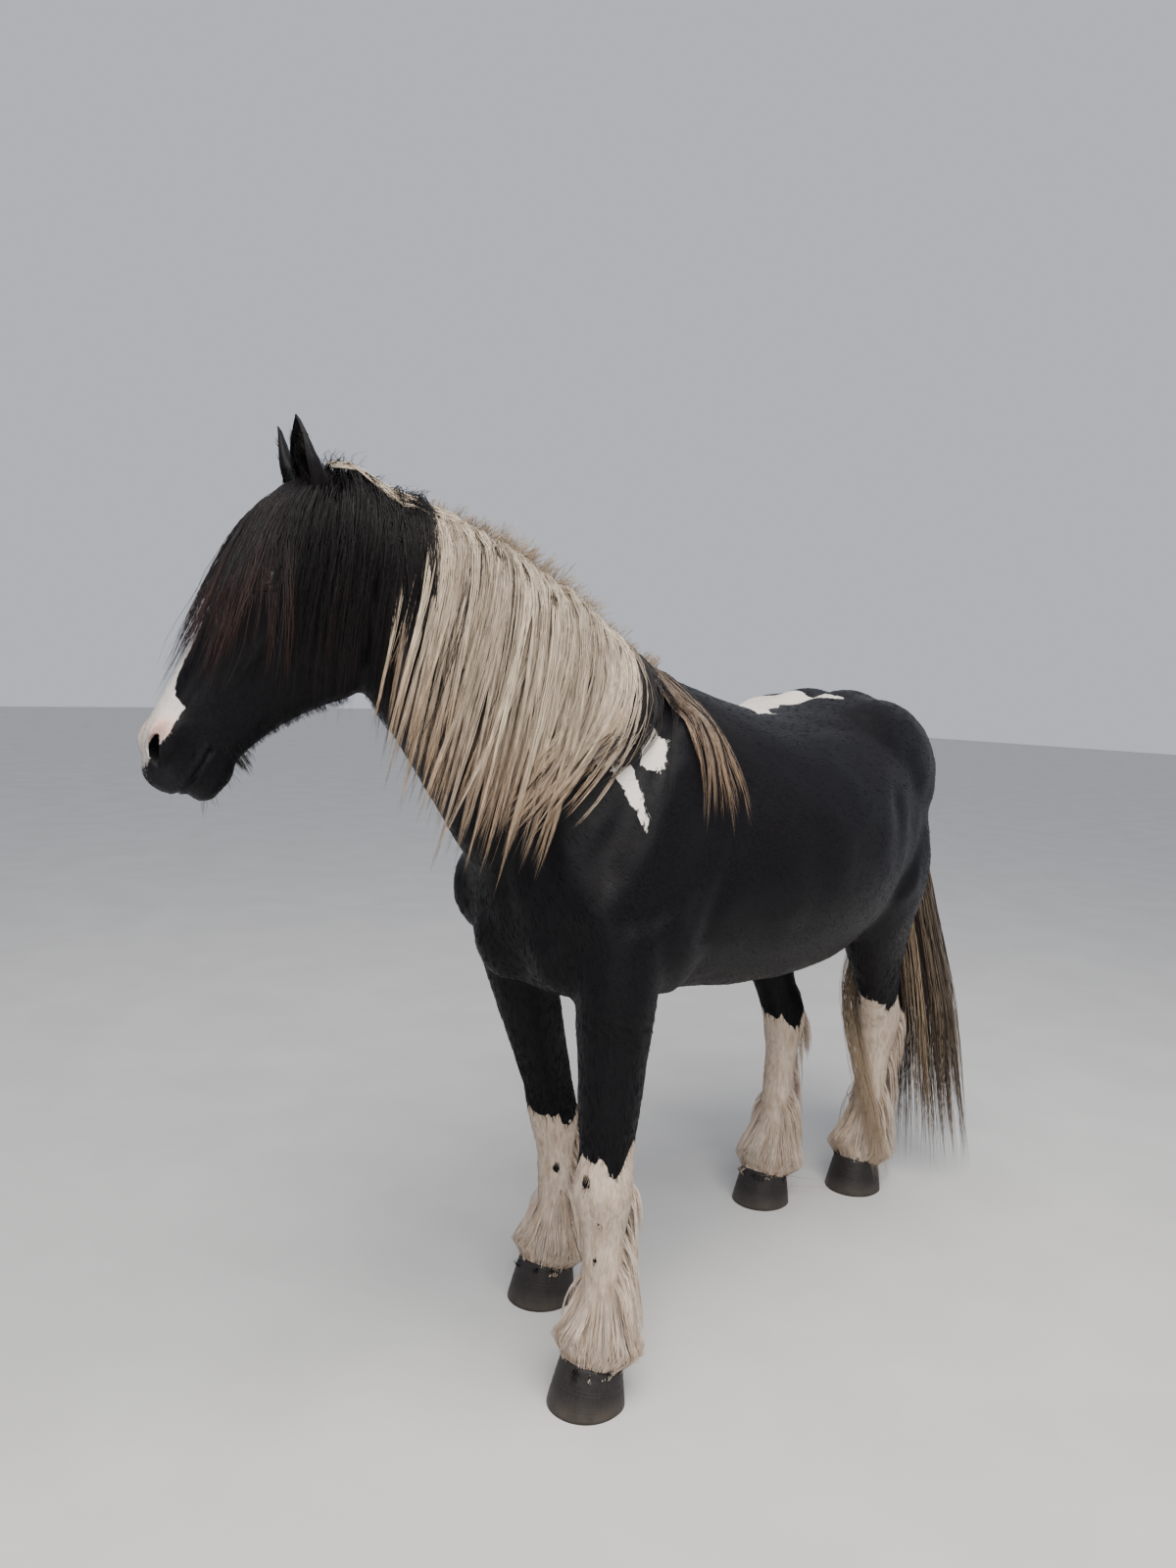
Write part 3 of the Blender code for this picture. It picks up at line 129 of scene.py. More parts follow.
# How far from the head's form the seam with the neck is evened out
SEAM_REACH = 0.09
# Half widths of the pad inside each hoof
FOOT_PAD = (0.052, 0.052, 0.030)
# How deep the skin lies under the coat, and a root of long hair in the skin
COAT_DEPTH = 0.0015
ROOT_DEPTH = 0.003
# Width of a strand or tuft on its map
PATCH = 0.003
STRAND_SIDES = 3
# Share of the tufts and strands that is made
FEWER = 1.0
# How many tufts the short coat has, and how many clumps of strands each part of the long hair has
BODY_TUFTS = 54000
HEAD_TUFTS = 25000
MANE_CLUMPS = 300
MANE_WISPS = 14
CREST_CLUMPS = 640
POLL_CLUMPS = 190
POLL_FUZZ = 60
FORELOCK_CLUMPS = 190
JAW_CLUMPS = 700
EAR_CLUMPS = 90
LASHES = 46
WHISKERS = 90
TAIL_CLUMPS = 190
INNER_CLUMPS = 22
FEATHER_CLUMPS = 460
# The camera: lens and film in millimetres; turn, tilt and roll in degrees; its place
LENS = 26.55
FILM = 36
CAMERA_TURNS = (48.95, 5.38, 2.29)
CAMERA_PLACE = (-2.351, -1.563, 1.433)
FLOOR_HALF = 30
SKY = (0.86, 0.90, 1.0, 1)
SKY_STRENGTH = 0.66
# Soft lights: name, place, width, strength, colour; and the place that they face
LIGHTS = [
    ("overhead", (-1.2, -1.6, 4.2), 3.6, 320, (1.0, 0.97, 0.93)),
    ("side", (-3.6, -3.2, 1.9), 2.4, 60, (1.0, 0.98, 0.95)),
]
LIT_PLACE = (0, 0, 0.9)

# The whites, as outlines: seen from above on the loin, from the left and the right on the shoulders
LOIN_WHITE = [
    (-0.13, -0.13), (-0.03, -0.11), (0.02, -0.05), (0.15, -0.02), (0.22, -0.025), (0.26, -0.07), (0.31, -0.10),
    (0.32, -0.04), (0.33, 0.08), (0.34, 0.17), (0.22, 0.20), (0.12, 0.12), (0.00, 0.05), (-0.06, -0.02),
]
SHOULDER_WHITES = [
    [(-0.74, 1.52), (-0.60, 1.43), (-0.583, 1.336), (-0.592, 1.309), (-0.646, 1.268), (-0.682, 1.261),
     (-0.73, 1.33)],
    [(-0.530, 1.420), (-0.524, 1.395), (-0.524, 1.366), (-0.548, 1.374)],
    [(-0.560, 1.342), (-0.540, 1.336), (-0.548, 1.310), (-0.570, 1.276), (-0.594, 1.250), (-0.606, 1.262),
     (-0.592, 1.293)],
    [(-0.662, 1.254), (-0.618, 1.262), (-0.622, 1.234), (-0.632, 1.184), (-0.638, 1.135), (-0.644, 1.184),
     (-0.652, 1.215)],
]
FAR_WHITE = [(-0.76, 1.50), (-0.60, 1.42), (-0.56, 1.33), (-0.61, 1.22), (-0.67, 1.14), (-0.70, 1.24),
             (-0.77, 1.33)]
# Share of the head's length, half width of the blaze there
BLAZE = [(0.05, 0.004), (0.12, 0.020), (0.25, 0.013), (0.40, 0.014), (0.424, 0.018), (0.450, 0.030), (0.462, 0.040),
         (0.473, 0.052), (0.490, 0.080), (0.600, 0.090)]
# Share of the head's length, lowest v of the white there
BLAZE_LOW = [(0.40, 0.020), (0.47, 0.034), (0.56, 0.036), (0.575, 0.031), (0.60, 0.024)]
# Each leg's white: height of its border, x of its lowest place, rise before and behind it
STOCKINGS = {
    "front_left": (0.462, -0.683, 1.6, 1.7),
    "front_right": (0.412, -0.445, 0.5, 0.5),
    "hind_left": (0.520, 0.590, 0.6, 1.0),
    "hind_right": (0.466, 0.440, 0.7, 1.1),
}
SPOTS = [((-0.717, -0.173, 0.460), 0.011), ((-0.697, -0.196, 0.373), 0.005), ((-0.687, -0.179, 0.297), 0.006),
         ((-0.454, 0.138, 0.309), 0.010), ((-0.443, 0.129, 0.248), 0.005), ((0.395, 0.120, 0.300), 0.008),
         ((0.655, -0.130, 0.380), 0.006)]


# Frames

def head_axes():
    """The head's own axes in the world: u down the face, v out of the face, w to the animal's left."""
    ahead = Vector((-math.cos(HEAD_TURN), math.sin(HEAD_TURN), 0))
    u = ahead * math.cos(HEAD_DROP) - Vector((0, 0, math.sin(HEAD_DROP)))
    v = ahead * math.sin(HEAD_DROP) + Vector((0, 0, math.cos(HEAD_DROP)))
    w = u.cross(v)
    return np.array([u, v, w if w.y < 0 else -w])


AXES = head_axes()
EYE_BOX = [np.array(corner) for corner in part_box("eye_left")]
SHIFT = (EYE_BOX[0] + EYE_BOX[1]) / 2 - (np.array(POLL) + np.array(EYE_PLACE) @ AXES)
SHIFT[2] = 0


def at(*place):
    """A place of the layout in the frame of the solids."""
    return np.array(place, float) + SHIFT


def on_head(u, v, w):
    """A place given along the head's own axes."""
    return at(*POLL) + np.array((u, v, w)) @ AXES


def along_head(points):
    """Points of the world along the head's own axes."""
    return (points - at(*POLL)) @ AXES.T


def smooth_between(rows, steps):
    """Rows of numbers with steps - 1 rows set between each two, on a smooth curve through them all."""
    rows = np.array(rows, float)
    padded = np.vstack([rows[:1], rows, rows[-1:]])
    made = []
    for a, b, c, d in zip(padded, padded[1:], padded[2:], padded[3:]):
        for k in range(steps):
            t = k / steps
            made.append(0.5 * (2 * b + (c - a) * t + (2 * a - 5 * b + 4 * c - d) * t * t
                               + (3 * b - a - 3 * c + d) * t ** 3))
    return np.array(made + [rows[-1]])


def read_off(rows, share, column=1):
    """The numbers of a column at these shares, on straight lines between the rows."""
    return np.interp(share, [row[0] for row in rows], [row[column] for row in rows])


def part_way(rows, share):
    """The row at a share of the way through all rows, on straight lines between them, and the one before."""
    place = np.clip(share, 0, 1) * (len(rows) - 1)
    i = min(int(place), len(rows) - 2)
    return rows[i] + (rows[i + 1] - rows[i]) * (place - i), i


def unit(vectors):
    """The same directions, with length one."""
    return vectors / np.maximum(np.linalg.norm(vectors, axis=-1, keepdims=True), 1e-9)


def ramp(values, low, high):
    """0 below low, 1 above high and smooth between."""
    t = np.clip((values - low) / (high - low), 0, 1)
    return t * t * (3 - 2 * t)


def ripple(points, scale, seed=0):
    """Smooth noise from -1 to 1, as a sum of waves."""
    source = np.random.default_rng(seed)
    total = np.zeros(len(points))
    for k in range(9):
        way = source.normal(size=3)
        total += np.sin(points @ (way * (0.7 + 0.25 * k) / scale) + source.uniform(0, 6.28)) / (1 + 0.3 * k)
    return np.clip(total / 2.6, -1, 1)


# Meshes

def coords(mesh):
    """The vertices of a mesh as an array."""
    got = np.empty(len(mesh.vertices) * 3)
    mesh.vertices.foreach_get("co", got)
    return got.reshape(-1, 3)


def place_at(mesh, points):
    """Moves the vertices of a mesh."""
    mesh.vertices.foreach_set("co", points.ravel())
    mesh.update()


def normals(mesh):
    """The normals at the vertices of a mesh."""
    got = np.empty(len(mesh.vertices) * 3)
    mesh.vertex_normals.foreach_get("vector", got)
    return got.reshape(-1, 3)


def show(name, mesh, look, nodes=()):
    """Puts a piece in the scene, on the root body, in the place of the named solids."""
    piece = bpy.data.objects.new(name, mesh)
    bpy.context.scene.collection.objects.link(piece)
    mesh.materials.clear()
    mesh.materials.append(look)
    mesh.polygons.foreach_set("use_smooth", [True] * len(mesh.polygons))
    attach(piece, "root")
    if nodes:
        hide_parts(*nodes)


def carry(mesh, values):
    """Gives the vertices of a mesh named numbers, for its material."""
    for key, numbers in values.items():
        mesh.attributes.new(key, "FLOAT", "POINT").data.foreach_set("value", numbers.astype(np.float32))


def mesh_of(name, points, faces, values=None, chart=None):
    """A mesh of triangles or quads from arrays, with named numbers at its vertices and a map OFBake."""
    mesh = bpy.data.meshes.new(name)
    count, sides = faces.shape
    mesh.vertices.add(len(points))
    mesh.vertices.foreach_set("co", points.astype(np.float32).ravel())
    mesh.loops.add(count * sides)
    mesh.loops.foreach_set("vertex_index", faces.astype(np.int32).ravel())
    mesh.polygons.add(count)
    mesh.polygons.foreach_set("loop_start", np.arange(0, count * sides, sides, dtype=np.int32))
    mesh.update(calc_edges=True)
    carry(mesh, values or {})
    if chart is not None:
        layer = mesh.uv_layers.new(name="OFBake")
        layer.uv.foreach_set("vector", chart[faces.ravel()].astype(np.float32).ravel())
    return mesh


def ring_faces(rings, sides):
    """The faces between rings of equal size, numbered ring by ring."""
    i = np.arange(rings - 1)[:, None] * sides
    j = np.arange(sides)[None, :]
    k = (j + 1) % sides
    return np.stack([i + j, i + k, i + sides + k, i + sides + j], -1).reshape(-1, 4)


def triangles(quads):
    """Each quad as two triangles."""
    return np.concatenate([quads[:, [0, 1, 2]], quads[:, [0, 2, 3]]])


def cap(first, sides, tip, turned=False):
    """Triangles from the ring that starts at first to the point numbered tip."""
    here = first + np.arange(sides)
    after = first + (np.arange(sides) + 1) % sides
    pair = [after, here] if turned else [here, after]
    return np.stack([*pair, np.full(sides, tip)], 1)


def add_rings(shape, rings):
    """Adds a closed skin through rings of points to a bmesh."""
    rows = [[shape.verts.new(p) for p in ring] for ring in rings]
    made = []
    for a, b in zip(rows, rows[1:]):
        for i in range(len(a)):
            j = (i + 1) % len(a)
            made.append(shape.faces.new((a[i], a[j], b[j], b[i])))
    made.append(shape.faces.new(rows[0]))
    made.append(shape.faces.new(rows[-1]))
    bmesh.ops.recalc_face_normals(shape, faces=made)


def oval(centre, side, front, half_width, fore, aft, sides, squareness):
    """A ring of points: half_width along side, fore along front and aft behind it."""
    angle = 2 * np.pi * np.arange(sides) / sides
    c, s = np.cos(angle), np.sin(angle)
    across = np.sign(c) * np.abs(c) ** (2 / squareness) * half_width
    along = np.sign(s) * np.abs(s) ** (2 / squareness) * np.where(s > 0, fore, aft)
    return centre + across[:, None] * side + along[:, None] * front


def add_ball(shape, centre, radii, axes):
    """Adds an ellipsoid to a bmesh: radii along the rows of axes."""
    turn = Matrix(np.array(axes).T.tolist()).to_4x4()
    matrix = Matrix.Translation(Vector(centre)) @ turn @ Matrix.Diagonal((*radii, 1))
    made = bmesh.ops.create_uvsphere(shape, u_segments=24, v_segments=14, radius=1, matrix=matrix)
    faces = {face for vert in made["verts"] for face in vert.link_faces}
    bmesh.ops.recalc_face_normals(shape, faces=list(faces))


def remeshed(shape, voxel):
    """The outer surface of overlapping bodies in even quads; the bmesh is used up."""
    mesh = bpy.data.meshes.new("form")
    shape.to_mesh(mesh)
    shape.free()
    form = bpy.data.objects.new("form", mesh)
    bpy.context.scene.collection.objects.link(form)
    even = form.modifiers.new("even", "REMESH")
    even.mode = "VOXEL"
    even.voxel_size = voxel
    made = bpy.data.meshes.new_from_object(form.evaluated_get(bpy.context.evaluated_depsgraph_get()))
    bpy.data.objects.remove(form)
    return made


def relaxed(mesh, rounds, give=0.5, back=-0.53, weight=1.0):
    """Evens a mesh out; with back below zero it keeps its bulk."""
    points = coords(mesh)
    edges = np.empty(len(mesh.edges) * 2, np.int32)
    mesh.edges.foreach_get("vertices", edges)
    a, b = edges.reshape(-1, 2).T
    count = len(points)
    degree = np.bincount(a, minlength=count) + np.bincount(b, minlength=count)
    weight = weight * np.ones(count)
    for _ in range(rounds):
        for factor in (give, back):
            if factor == 0:
                continue
            near = np.stack([np.bincount(a, points[b, k], count) + np.bincount(b, points[a, k], count)
                             for k in range(3)], 1)
            points += (near / degree[:, None] - points) * (factor * weight)[:, None]
    place_at(mesh, points)


def tree_of(mesh):
    """A search tree over the faces of a mesh."""
    return BVHTree.FromPolygons([Vector(p) for p in coords(mesh)], [list(f.vertices) for f in mesh.polygons])


def largest(mesh):
    """Drops every loose surface but the largest."""
    shape = bmesh.new()
    shape.from_mesh(mesh)
    shape.verts.ensure_lookup_table()
    seen = set()
    groups = []
    for start in shape.verts:
        if start.index in seen:
            continue
        seen.add(start.index)
        group, todo = [start], [start]
        while todo:
            for edge in todo.pop().link_edges:
                for vert in edge.verts:
                    if vert.index not in seen:
                        seen.add(vert.index)
                        group.append(vert)
                        todo.append(vert)
        groups.append(group)
    groups.sort(key=len)
    bmesh.ops.delete(shape, geom=[vert for group in groups[:-1] for vert in group], context="VERTS")
    shape.to_mesh(mesh)
    shape.free()


# The skin

FLESH = ["torso", "neck", "head", "dock"] + [f"{leg}_{part}" for leg in LEGS for part in ("thigh", "shank")]


def body_form():
    """All the flesh in one even skin."""
    shape = bmesh.new()
    for node in FLESH:
        one = bmesh.new()
        one.from_mesh(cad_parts[node].data)
        bmesh.ops.remove_doubles(one, verts=one.verts, dist=1e-5)
        spare = bpy.data.meshes.new("spare")
        one.to_mesh(spare)
        one.free()
        shape.from_mesh(spare)
        bpy.data.meshes.remove(spare)
    add_head(shape)
    for _, _, crown in LEGS.values():
        add_ball(shape, at(*crown) + np.array((0, 0, 0.008)), FOOT_PAD, np.eye(3))
    mesh = remeshed(shape, BODY_VOXEL)
    largest(mesh)
    relaxed(mesh, BODY_EASE)
    return mesh


def add_head(shape):
    """Adds the head's rounded form."""
    rings = [oval(on_head(u, 0, 0), AXES[2], AXES[1], half, face, jaw, 28, 2.5)
             for u, face, jaw, half in smooth_between(HEAD, 4)]
    add_rings(shape, rings)
    for (u, v, w), radii in HEAD_MASSES:
        for side in (-1, 1):
            add_ball(shape, on_head(u, v, w * side), radii, AXES)


def head_form():
    """The head alone, fine enough for its lids, nostrils and lips."""
    shape = bmesh.new()
    add_head(shape)
    mesh = remeshed(shape, HEAD_VOXEL)
    relaxed(mesh, HEAD_EASE, back=0)
    return mesh


def refine(mesh, chosen, cuts):
    """Cuts the faces whose centres are chosen into smaller ones."""
    shape = bmesh.new()
    shape.from_mesh(mesh)
    centres = np.array([face.calc_center_median() for face in shape.faces])
    picked = [face for face, yes in zip(list(shape.faces), chosen(centres)) if yes]
    edges = list({edge for face in picked for edge in face.edges})
    bmesh.ops.subdivide_edges(shape, edges=edges, cuts=cuts, use_grid_fill=True)
    wide = [face for face in shape.faces if len(face.verts) > 4]
    bmesh.ops.triangulate(shape, faces=wide)
    shape.to_mesh(mesh)
    shape.free()


def in_head(points, start=-0.03):
    """Which points lie in the head."""
    u, v, w = along_head(points).T
    return (u > start) & (u < 0.75) & (np.abs(w) < 0.16) & (v > -0.27) & (v < 0.2)


def onto(points, tree, near, far):
    """Points moved to the nearest place of another surface, fully where near and not at all where far."""
    for i, point in enumerate(points):
        hit, _, _, distance = tree.find_nearest(Vector(point), far)
        if hit is not None:
            points[i] += (np.array(hit) - point) * (1 - ramp(np.array(distance), near, far))
    return points


def mirrored(line, side):
    """Places along the head's axes, for side -1 on its other half."""
    return [(u, v, w * side) for u, v, w in line]


def ridge(points, line, width, height):
    """How far a rounded ridge along a line raises each point, or a groove sinks it."""
    line = [np.array(p, float) for p in line]
    nearest = np.full(len(points), 9.0)
    for a, b in zip(line, line[1:]):
        t = np.clip((points - a) @ (b - a) / ((b - a) @ (b - a)), 0, 1)
        nearest = np.minimum(nearest, np.linalg.norm(points - a - t[:, None] * (b - a), axis=1))
    return height * np.exp(-(nearest / width) ** 2)


# Ridges and grooves: places of a line on the left half, which the right half repeats, width, height
BODY_LINES = [
    ([(-0.500, -0.150, 1.360), (-0.640, -0.200, 1.220), (-0.745, -0.190, 1.080)], 0.022, -0.006),
    ([(-0.480, -0.170, 1.350), (-0.580, -0.235, 1.200), (-0.670, -0.240, 1.080)], 0.024, 0.004),
    ([(-0.370, -0.270, 1.200), (-0.430, -0.280, 1.060), (-0.480, -0.250, 0.930)], 0.026, -0.007),
    ([(-0.540, -0.260, 1.020), (-0.590, -0.270, 0.940)], 0.030, 0.004),
    ([(-0.520, -0.230, 0.860), (-0.500, -0.160, 0.800)], 0.016, -0.006),
    ([(-1.000, 0.120, 1.440), (-0.860, -0.010, 1.250), (-0.780, -0.100, 1.080)], 0.020, -0.008),
    ([(-0.900, 0.000, 1.420), (-0.760, -0.090, 1.260)], 0.030, 0.004),
    ([(-0.690, -0.240, 0.860), (-0.700, -0.215, 0.640), (-0.705, -0.205, 0.520)], 0.012, -0.003),
    ([(-0.640, -0.250, 0.840), (-0.650, -0.220, 0.600)], 0.014, -0.003),
    ([(0.270, -0.285, 1.100), (0.250, -0.240, 0.960), (0.210, -0.160, 0.860)], 0.022, 0.010),
    ([(0.215, -0.300, 1.150), (0.190, -0.280, 0.980)], 0.030, -0.010),
    ([(0.290, -0.235, 1.300), (0.310, -0.245, 1.280)], 0.036, 0.008),
    ([(0.560, -0.180, 1.230), (0.590, -0.185, 1.060), (0.580, -0.170, 0.880)], 0.018, -0.006),
    ([(0.420, -0.240, 1.220), (0.400, -0.250, 1.050), (0.350, -0.235, 0.930)], 0.050, 0.005),
    ([(0.560, -0.150, 0.760), (0.620, -0.115, 0.620), (0.640, -0.105, 0.560)], 0.013, -0.006),
    ([(0.470, -0.170, 0.800), (0.560, -0.140, 0.640)], 0.018, 0.003),
]
# The same along the middle of the body
MIDDLE_LINES = [
    ([(0.200, 0, 1.400), (0.360, 0, 1.436), (0.520, 0, 1.418), (0.660, 0, 1.310)], 0.034, -0.022),
    ([(-0.805, 0, 1.160), (-0.780, 0, 1.020), (-0.700, 0, 0.860)], 0.020, -0.014),
    ([(-0.150, 0, 1.390), (0.100, 0, 1.372)], 0.050, -0.006),
]
# The same on the head, along its own axes
HEAD_LINES = [
    ([(0.232, 0.006, 0.098), (0.290, -0.004, 0.080), (0.360, -0.006, 0.068)], 0.009, 0.0035),
    ([(0.245, -0.020, 0.092), (0.292, -0.070, 0.078), (0.285, -0.130, 0.066), (0.255, -0.180, 0.050)],
     0.011, -0.0040),
    ([(0.150, 0.086, 0.062), (0.172, 0.084, 0.070)], 0.016, -0.0070),
    ([(0.300, 0.058, 0.060), (0.400, 0.050, 0.058), (0.470, 0.044, 0.054)], 0.009, -0.0028),
    ([(0.380, -0.030, 0.064), (0.330, -0.012, 0.074), (0.285, -0.026, 0.086), (0.240, -0.050, 0.100)],
     0.0032, 0.0016),
    ([(0.330, -0.012, 0.074), (0.300, 0.030, 0.078), (0.262, 0.046, 0.086)], 0.0028, 0.0013),
    ([(0.395, -0.060, 0.056), (0.360, -0.095, 0.062), (0.330, -0.120, 0.060)], 0.0032, 0.0014),
    ([(0.400, -0.100, 0.040), (0.470, -0.098, 0.040)], 0.014, -0.0030),
    ([(0.060, -0.080, 0.098), (0.120, -0.160, 0.090)], 0.014, 0.0025),
    ([(0.500, 0.060, 0.036), (0.535, 0.060, 0.044)], 0.012, 0.0030),
    ([(0.505, 0.012, 0.070), (0.540, 0.000, 0.070), (0.565, 0.004, 0.062)], 0.008, -0.0035),
]
MOUTH = [(0.600, -0.044, 0.000), (0.598, -0.044, 0.020), (0.588, -0.045, 0.038), (0.560, -0.047, 0.052),
         (0.530, -0.046, 0.056), (0.508, -0.044, 0.054)]


def shape_details(mesh):
    """Muscles, folds and veins, and the mouth with its lips."""
    points, out = coords(mesh), normals(mesh)
    raised = np.zeros(len(points))
    for line, width, height in BODY_LINES:
        for side in (1, -1):
            raised += ridge(points, [at(x, y * side, z) for x, y, z in line], width, height)
    for line, width, height in MIDDLE_LINES:
        raised += ridge(points, [at(*p) for p in line], width, height)
    head = in_head(points, 0.0)
    local = along_head(points)
    for line, width, height in HEAD_LINES:
        for side in (1, -1):
            raised[head] += ridge(local[head], mirrored(line, side), width, height)
    for side in (1, -1):
        line = mirrored(MOUTH, side)
        raised[head] += ridge(local[head], line, 0.0032, -0.0075)
        raised[head] += ridge(local[head], [(u, v + 0.011, w) for u, v, w in line], 0.006, 0.0022)
        raised[head] += ridge(local[head], [(u, v - 0.011, w) for u, v, w in line], 0.006, 0.0020)
    raised += 0.0015 * ripple(points, 0.05, 3) * ~head
    raised += 0.0004 * ripple(points, 0.012, 4) * head
    points += out * raised[:, None]
    place_at(mesh, points)


NOSTRIL = (0.560, 0.038, 0.050)


def nostril_axes(side):
    """The way a nostril faces, the way down its length and the way across it, along the head's axes."""
    facing = unit(np.array((0.60, 0.30, 0.74 * side)))
    down = np.array((0.834, -0.552, 0.0))
    down = unit(down - facing * (down @ facing))
    return facing, down, np.cross(facing, down) * side


def nostril_shape(local, side):
    """How deep in a nostril a point is, from 0 on its rim to 1, and how near its rim it is."""
    facing, down, across = nostril_axes(side)
    offset = local - np.array(mirrored([NOSTRIL], side)[0])
    a, b, c = offset @ down, offset @ across, offset @ facing
    bent = b + 9.0 * (a - 0.004) ** 2
    width = 0.0125 - 0.10 * np.clip(a, 0, 0.06)
    reach = np.sqrt((a / 0.029) ** 2 + (bent / width) ** 2)
    close = (np.abs(c) < 0.028) & (local[:, 2] * side > 0.008)
    return np.where(close, np.clip(1 - reach, 0, 1), 0), np.where(close, np.exp(-((reach - 1.25) / 0.25) ** 2), 0)


def shape_nostrils(mesh):
    """Sinks both nostrils and raises their rims."""
    points, out = coords(mesh), normals(mesh)
    local = along_head(points)
    near = in_head(points, 0.45)
    for side in (1, -1):
        inside, rim = nostril_shape(local, side)
        facing, _, _ = nostril_axes(side)
        way = (-facing - 0.5 * np.array((1, 0, 0))) @ AXES
        points += (way * 0.026)[None, :] * (ramp(inside, 0.0, 0.5) * near)[:, None]
        points += out * (0.0028 * rim * near * (inside <= 0))[:, None]
    place_at(mesh, points)


def eye_axes(side):
    """The eye's centre, the ways along and across the lids, and the way it looks."""
    u, v, w = EYE_PLACE
    look = unit(AXES[2] * side * 0.93 + AXES[1] * 0.34 + AXES[0] * 0.10)
    along = AXES[0] * 0.86 + AXES[1] * 0.50
    along = unit(along - look * (along @ look))
    across = np.cross(look, along)
    if across @ AXES[1] < 0:
        across = -across
    return on_head(u, v, side * w), along, across, look


def lid_outline(angle, size):
    """The opening between the lids: along, across; the upper lid arches more and the inner corner is drawn out."""
    c, s = np.cos(angle), np.sin(angle)
    high = np.where(s > 0, 0.0122, 0.0098)
    along = c * (0.0182 + 0.0035 * np.clip(c, 0, 1) ** 4)
    across = s * high * (1 - 0.30 * np.abs(c) ** 3) - 0.0030 * np.clip(c, 0, 1) ** 3
    return along * size, across * size


def shape_sockets(mesh):
    """Sinks the skin behind each eye and fills out the brow."""
    points, out = coords(mesh), normals(mesh)
    for side in (1, -1):
        centre, along, across, look = eye_axes(side)
        offset = points - centre
        a, b, deep = offset @ along, offset @ across, offset @ look
        reach = np.sqrt((a / 0.024) ** 2 + (b / 0.019) ** 2)
        front = deep > -0.012
        inside = (reach < 1.25) & front & (np.linalg.norm(offset, axis=1) < 0.045)
        sunk = ramp(1.25 - reach, 0.0, 0.45)
        points[inside] -= look * ((deep[inside] + 0.004) * sunk[inside])[:, None]
        brow = np.exp(-((a + 0.002) / 0.026) ** 2 - ((b - 0.026) / 0.010) ** 2) * front
        points += out * (0.0045 * brow * (reach >= 1.25))[:, None]
    place_at(mesh, points)


# Rings of a lid from its edge outwards: size, height over the eyeball, share of the skin's own height
LID_ROWS = [(0.94, -0.0008, 0.0), (1.00, 0.0006, 0.0), (1.06, 0.0018, 0.0), (1.18, 0.0027, 0.0),
            (1.34, 0.0028, 0.06), (1.50, 0.0022, 0.16), (1.64, 0.0008, 0.30), (1.78, 0.0014, 0.50),
            (2.05, 0.0012, 0.80), (2.35, 0.0004, 1.0), (2.65, -0.0014, 1.0)]


def lids(tree):
    """Both lids of both eyes, as closed rims from the eyeball out to below the skin."""
    all_points, all_faces, first = [], [], 0
    turns = 56
    angle = 2 * np.pi * np.arange(turns) / turns
    for side in (1, -1):
        centre, along, across, look = eye_axes(side)
        for size, rise, blend in LID_ROWS:
            a, b = lid_outline(angle, size)
            flat = centre + a[:, None] * along + b[:, None] * across
            ball = np.sqrt(np.clip(EYE_RADIUS ** 2 - a * a - b * b, 0, None))
            folds = rise * np.where((b > 0) | (blend < 0.1), 1.0, 0.55)
            heights = []
            for i in range(turns):
                hit, _, _, _ = tree.ray_cast(Vector(flat[i] + look * 0.06), Vector(-look), 0.09)
                skin = (np.array(hit) - flat[i]) @ look if hit is not None else 0
                heights.append(ball[i] * (1 - blend) + skin * blend + folds[i])
            all_points.append(flat + np.array(heights)[:, None] * look)
        faces = ring_faces(len(LID_ROWS), turns) + first
        all_faces.append(faces if side > 0 else faces[:, ::-1])
        first += len(LID_ROWS) * turns
    return np.vstack(all_points), np.vstack(all_faces)


def ear_frame(side):
    """The ear's base, the way up it, the way it faces and the way across it."""
    u, v, w = EAR_PLACE
    out = AXES[2] * side
    up = unit(np.array((0, 0, 1.0)) + out * 0.12 + AXES[1] * 0.62)
    facing = AXES[1] * 0.95 + out * 0.22
    facing = unit(facing - up * (facing @ up))
    return on_head(u, v, w * side), up, facing, np.cross(up, facing)


EAR_ROWS = 30
EAR_TURNS = 28


def ear_surface(side, share, turn, thick):
    """A place on the ear's shell: share of its height, turn from the back (0) to an edge (-1 or 1)."""
    base, up, facing, across = ear_frame(side)
    half, deep = read_off(EAR_SHAPE, share), read_off(EAR_SHAPE, share, 2)
    opening = np.radians(178 - 52 * ramp(share, 0.02, 0.30) - 34 * ramp(share, 0.30, 0.95))
    angle = turn * opening
    middle = base + up * (EAR_LENGTH * share) + facing * (0.012 * math.sin(math.pi * max(0, share)))
    curl = 0.0035 * abs(turn) ** 6 * ramp(share, 0.1, 0.3)
    wide = half - thick - curl
    return middle + across * (math.sin(angle) * wide) - facing * (math.cos(angle) * (deep - thick))


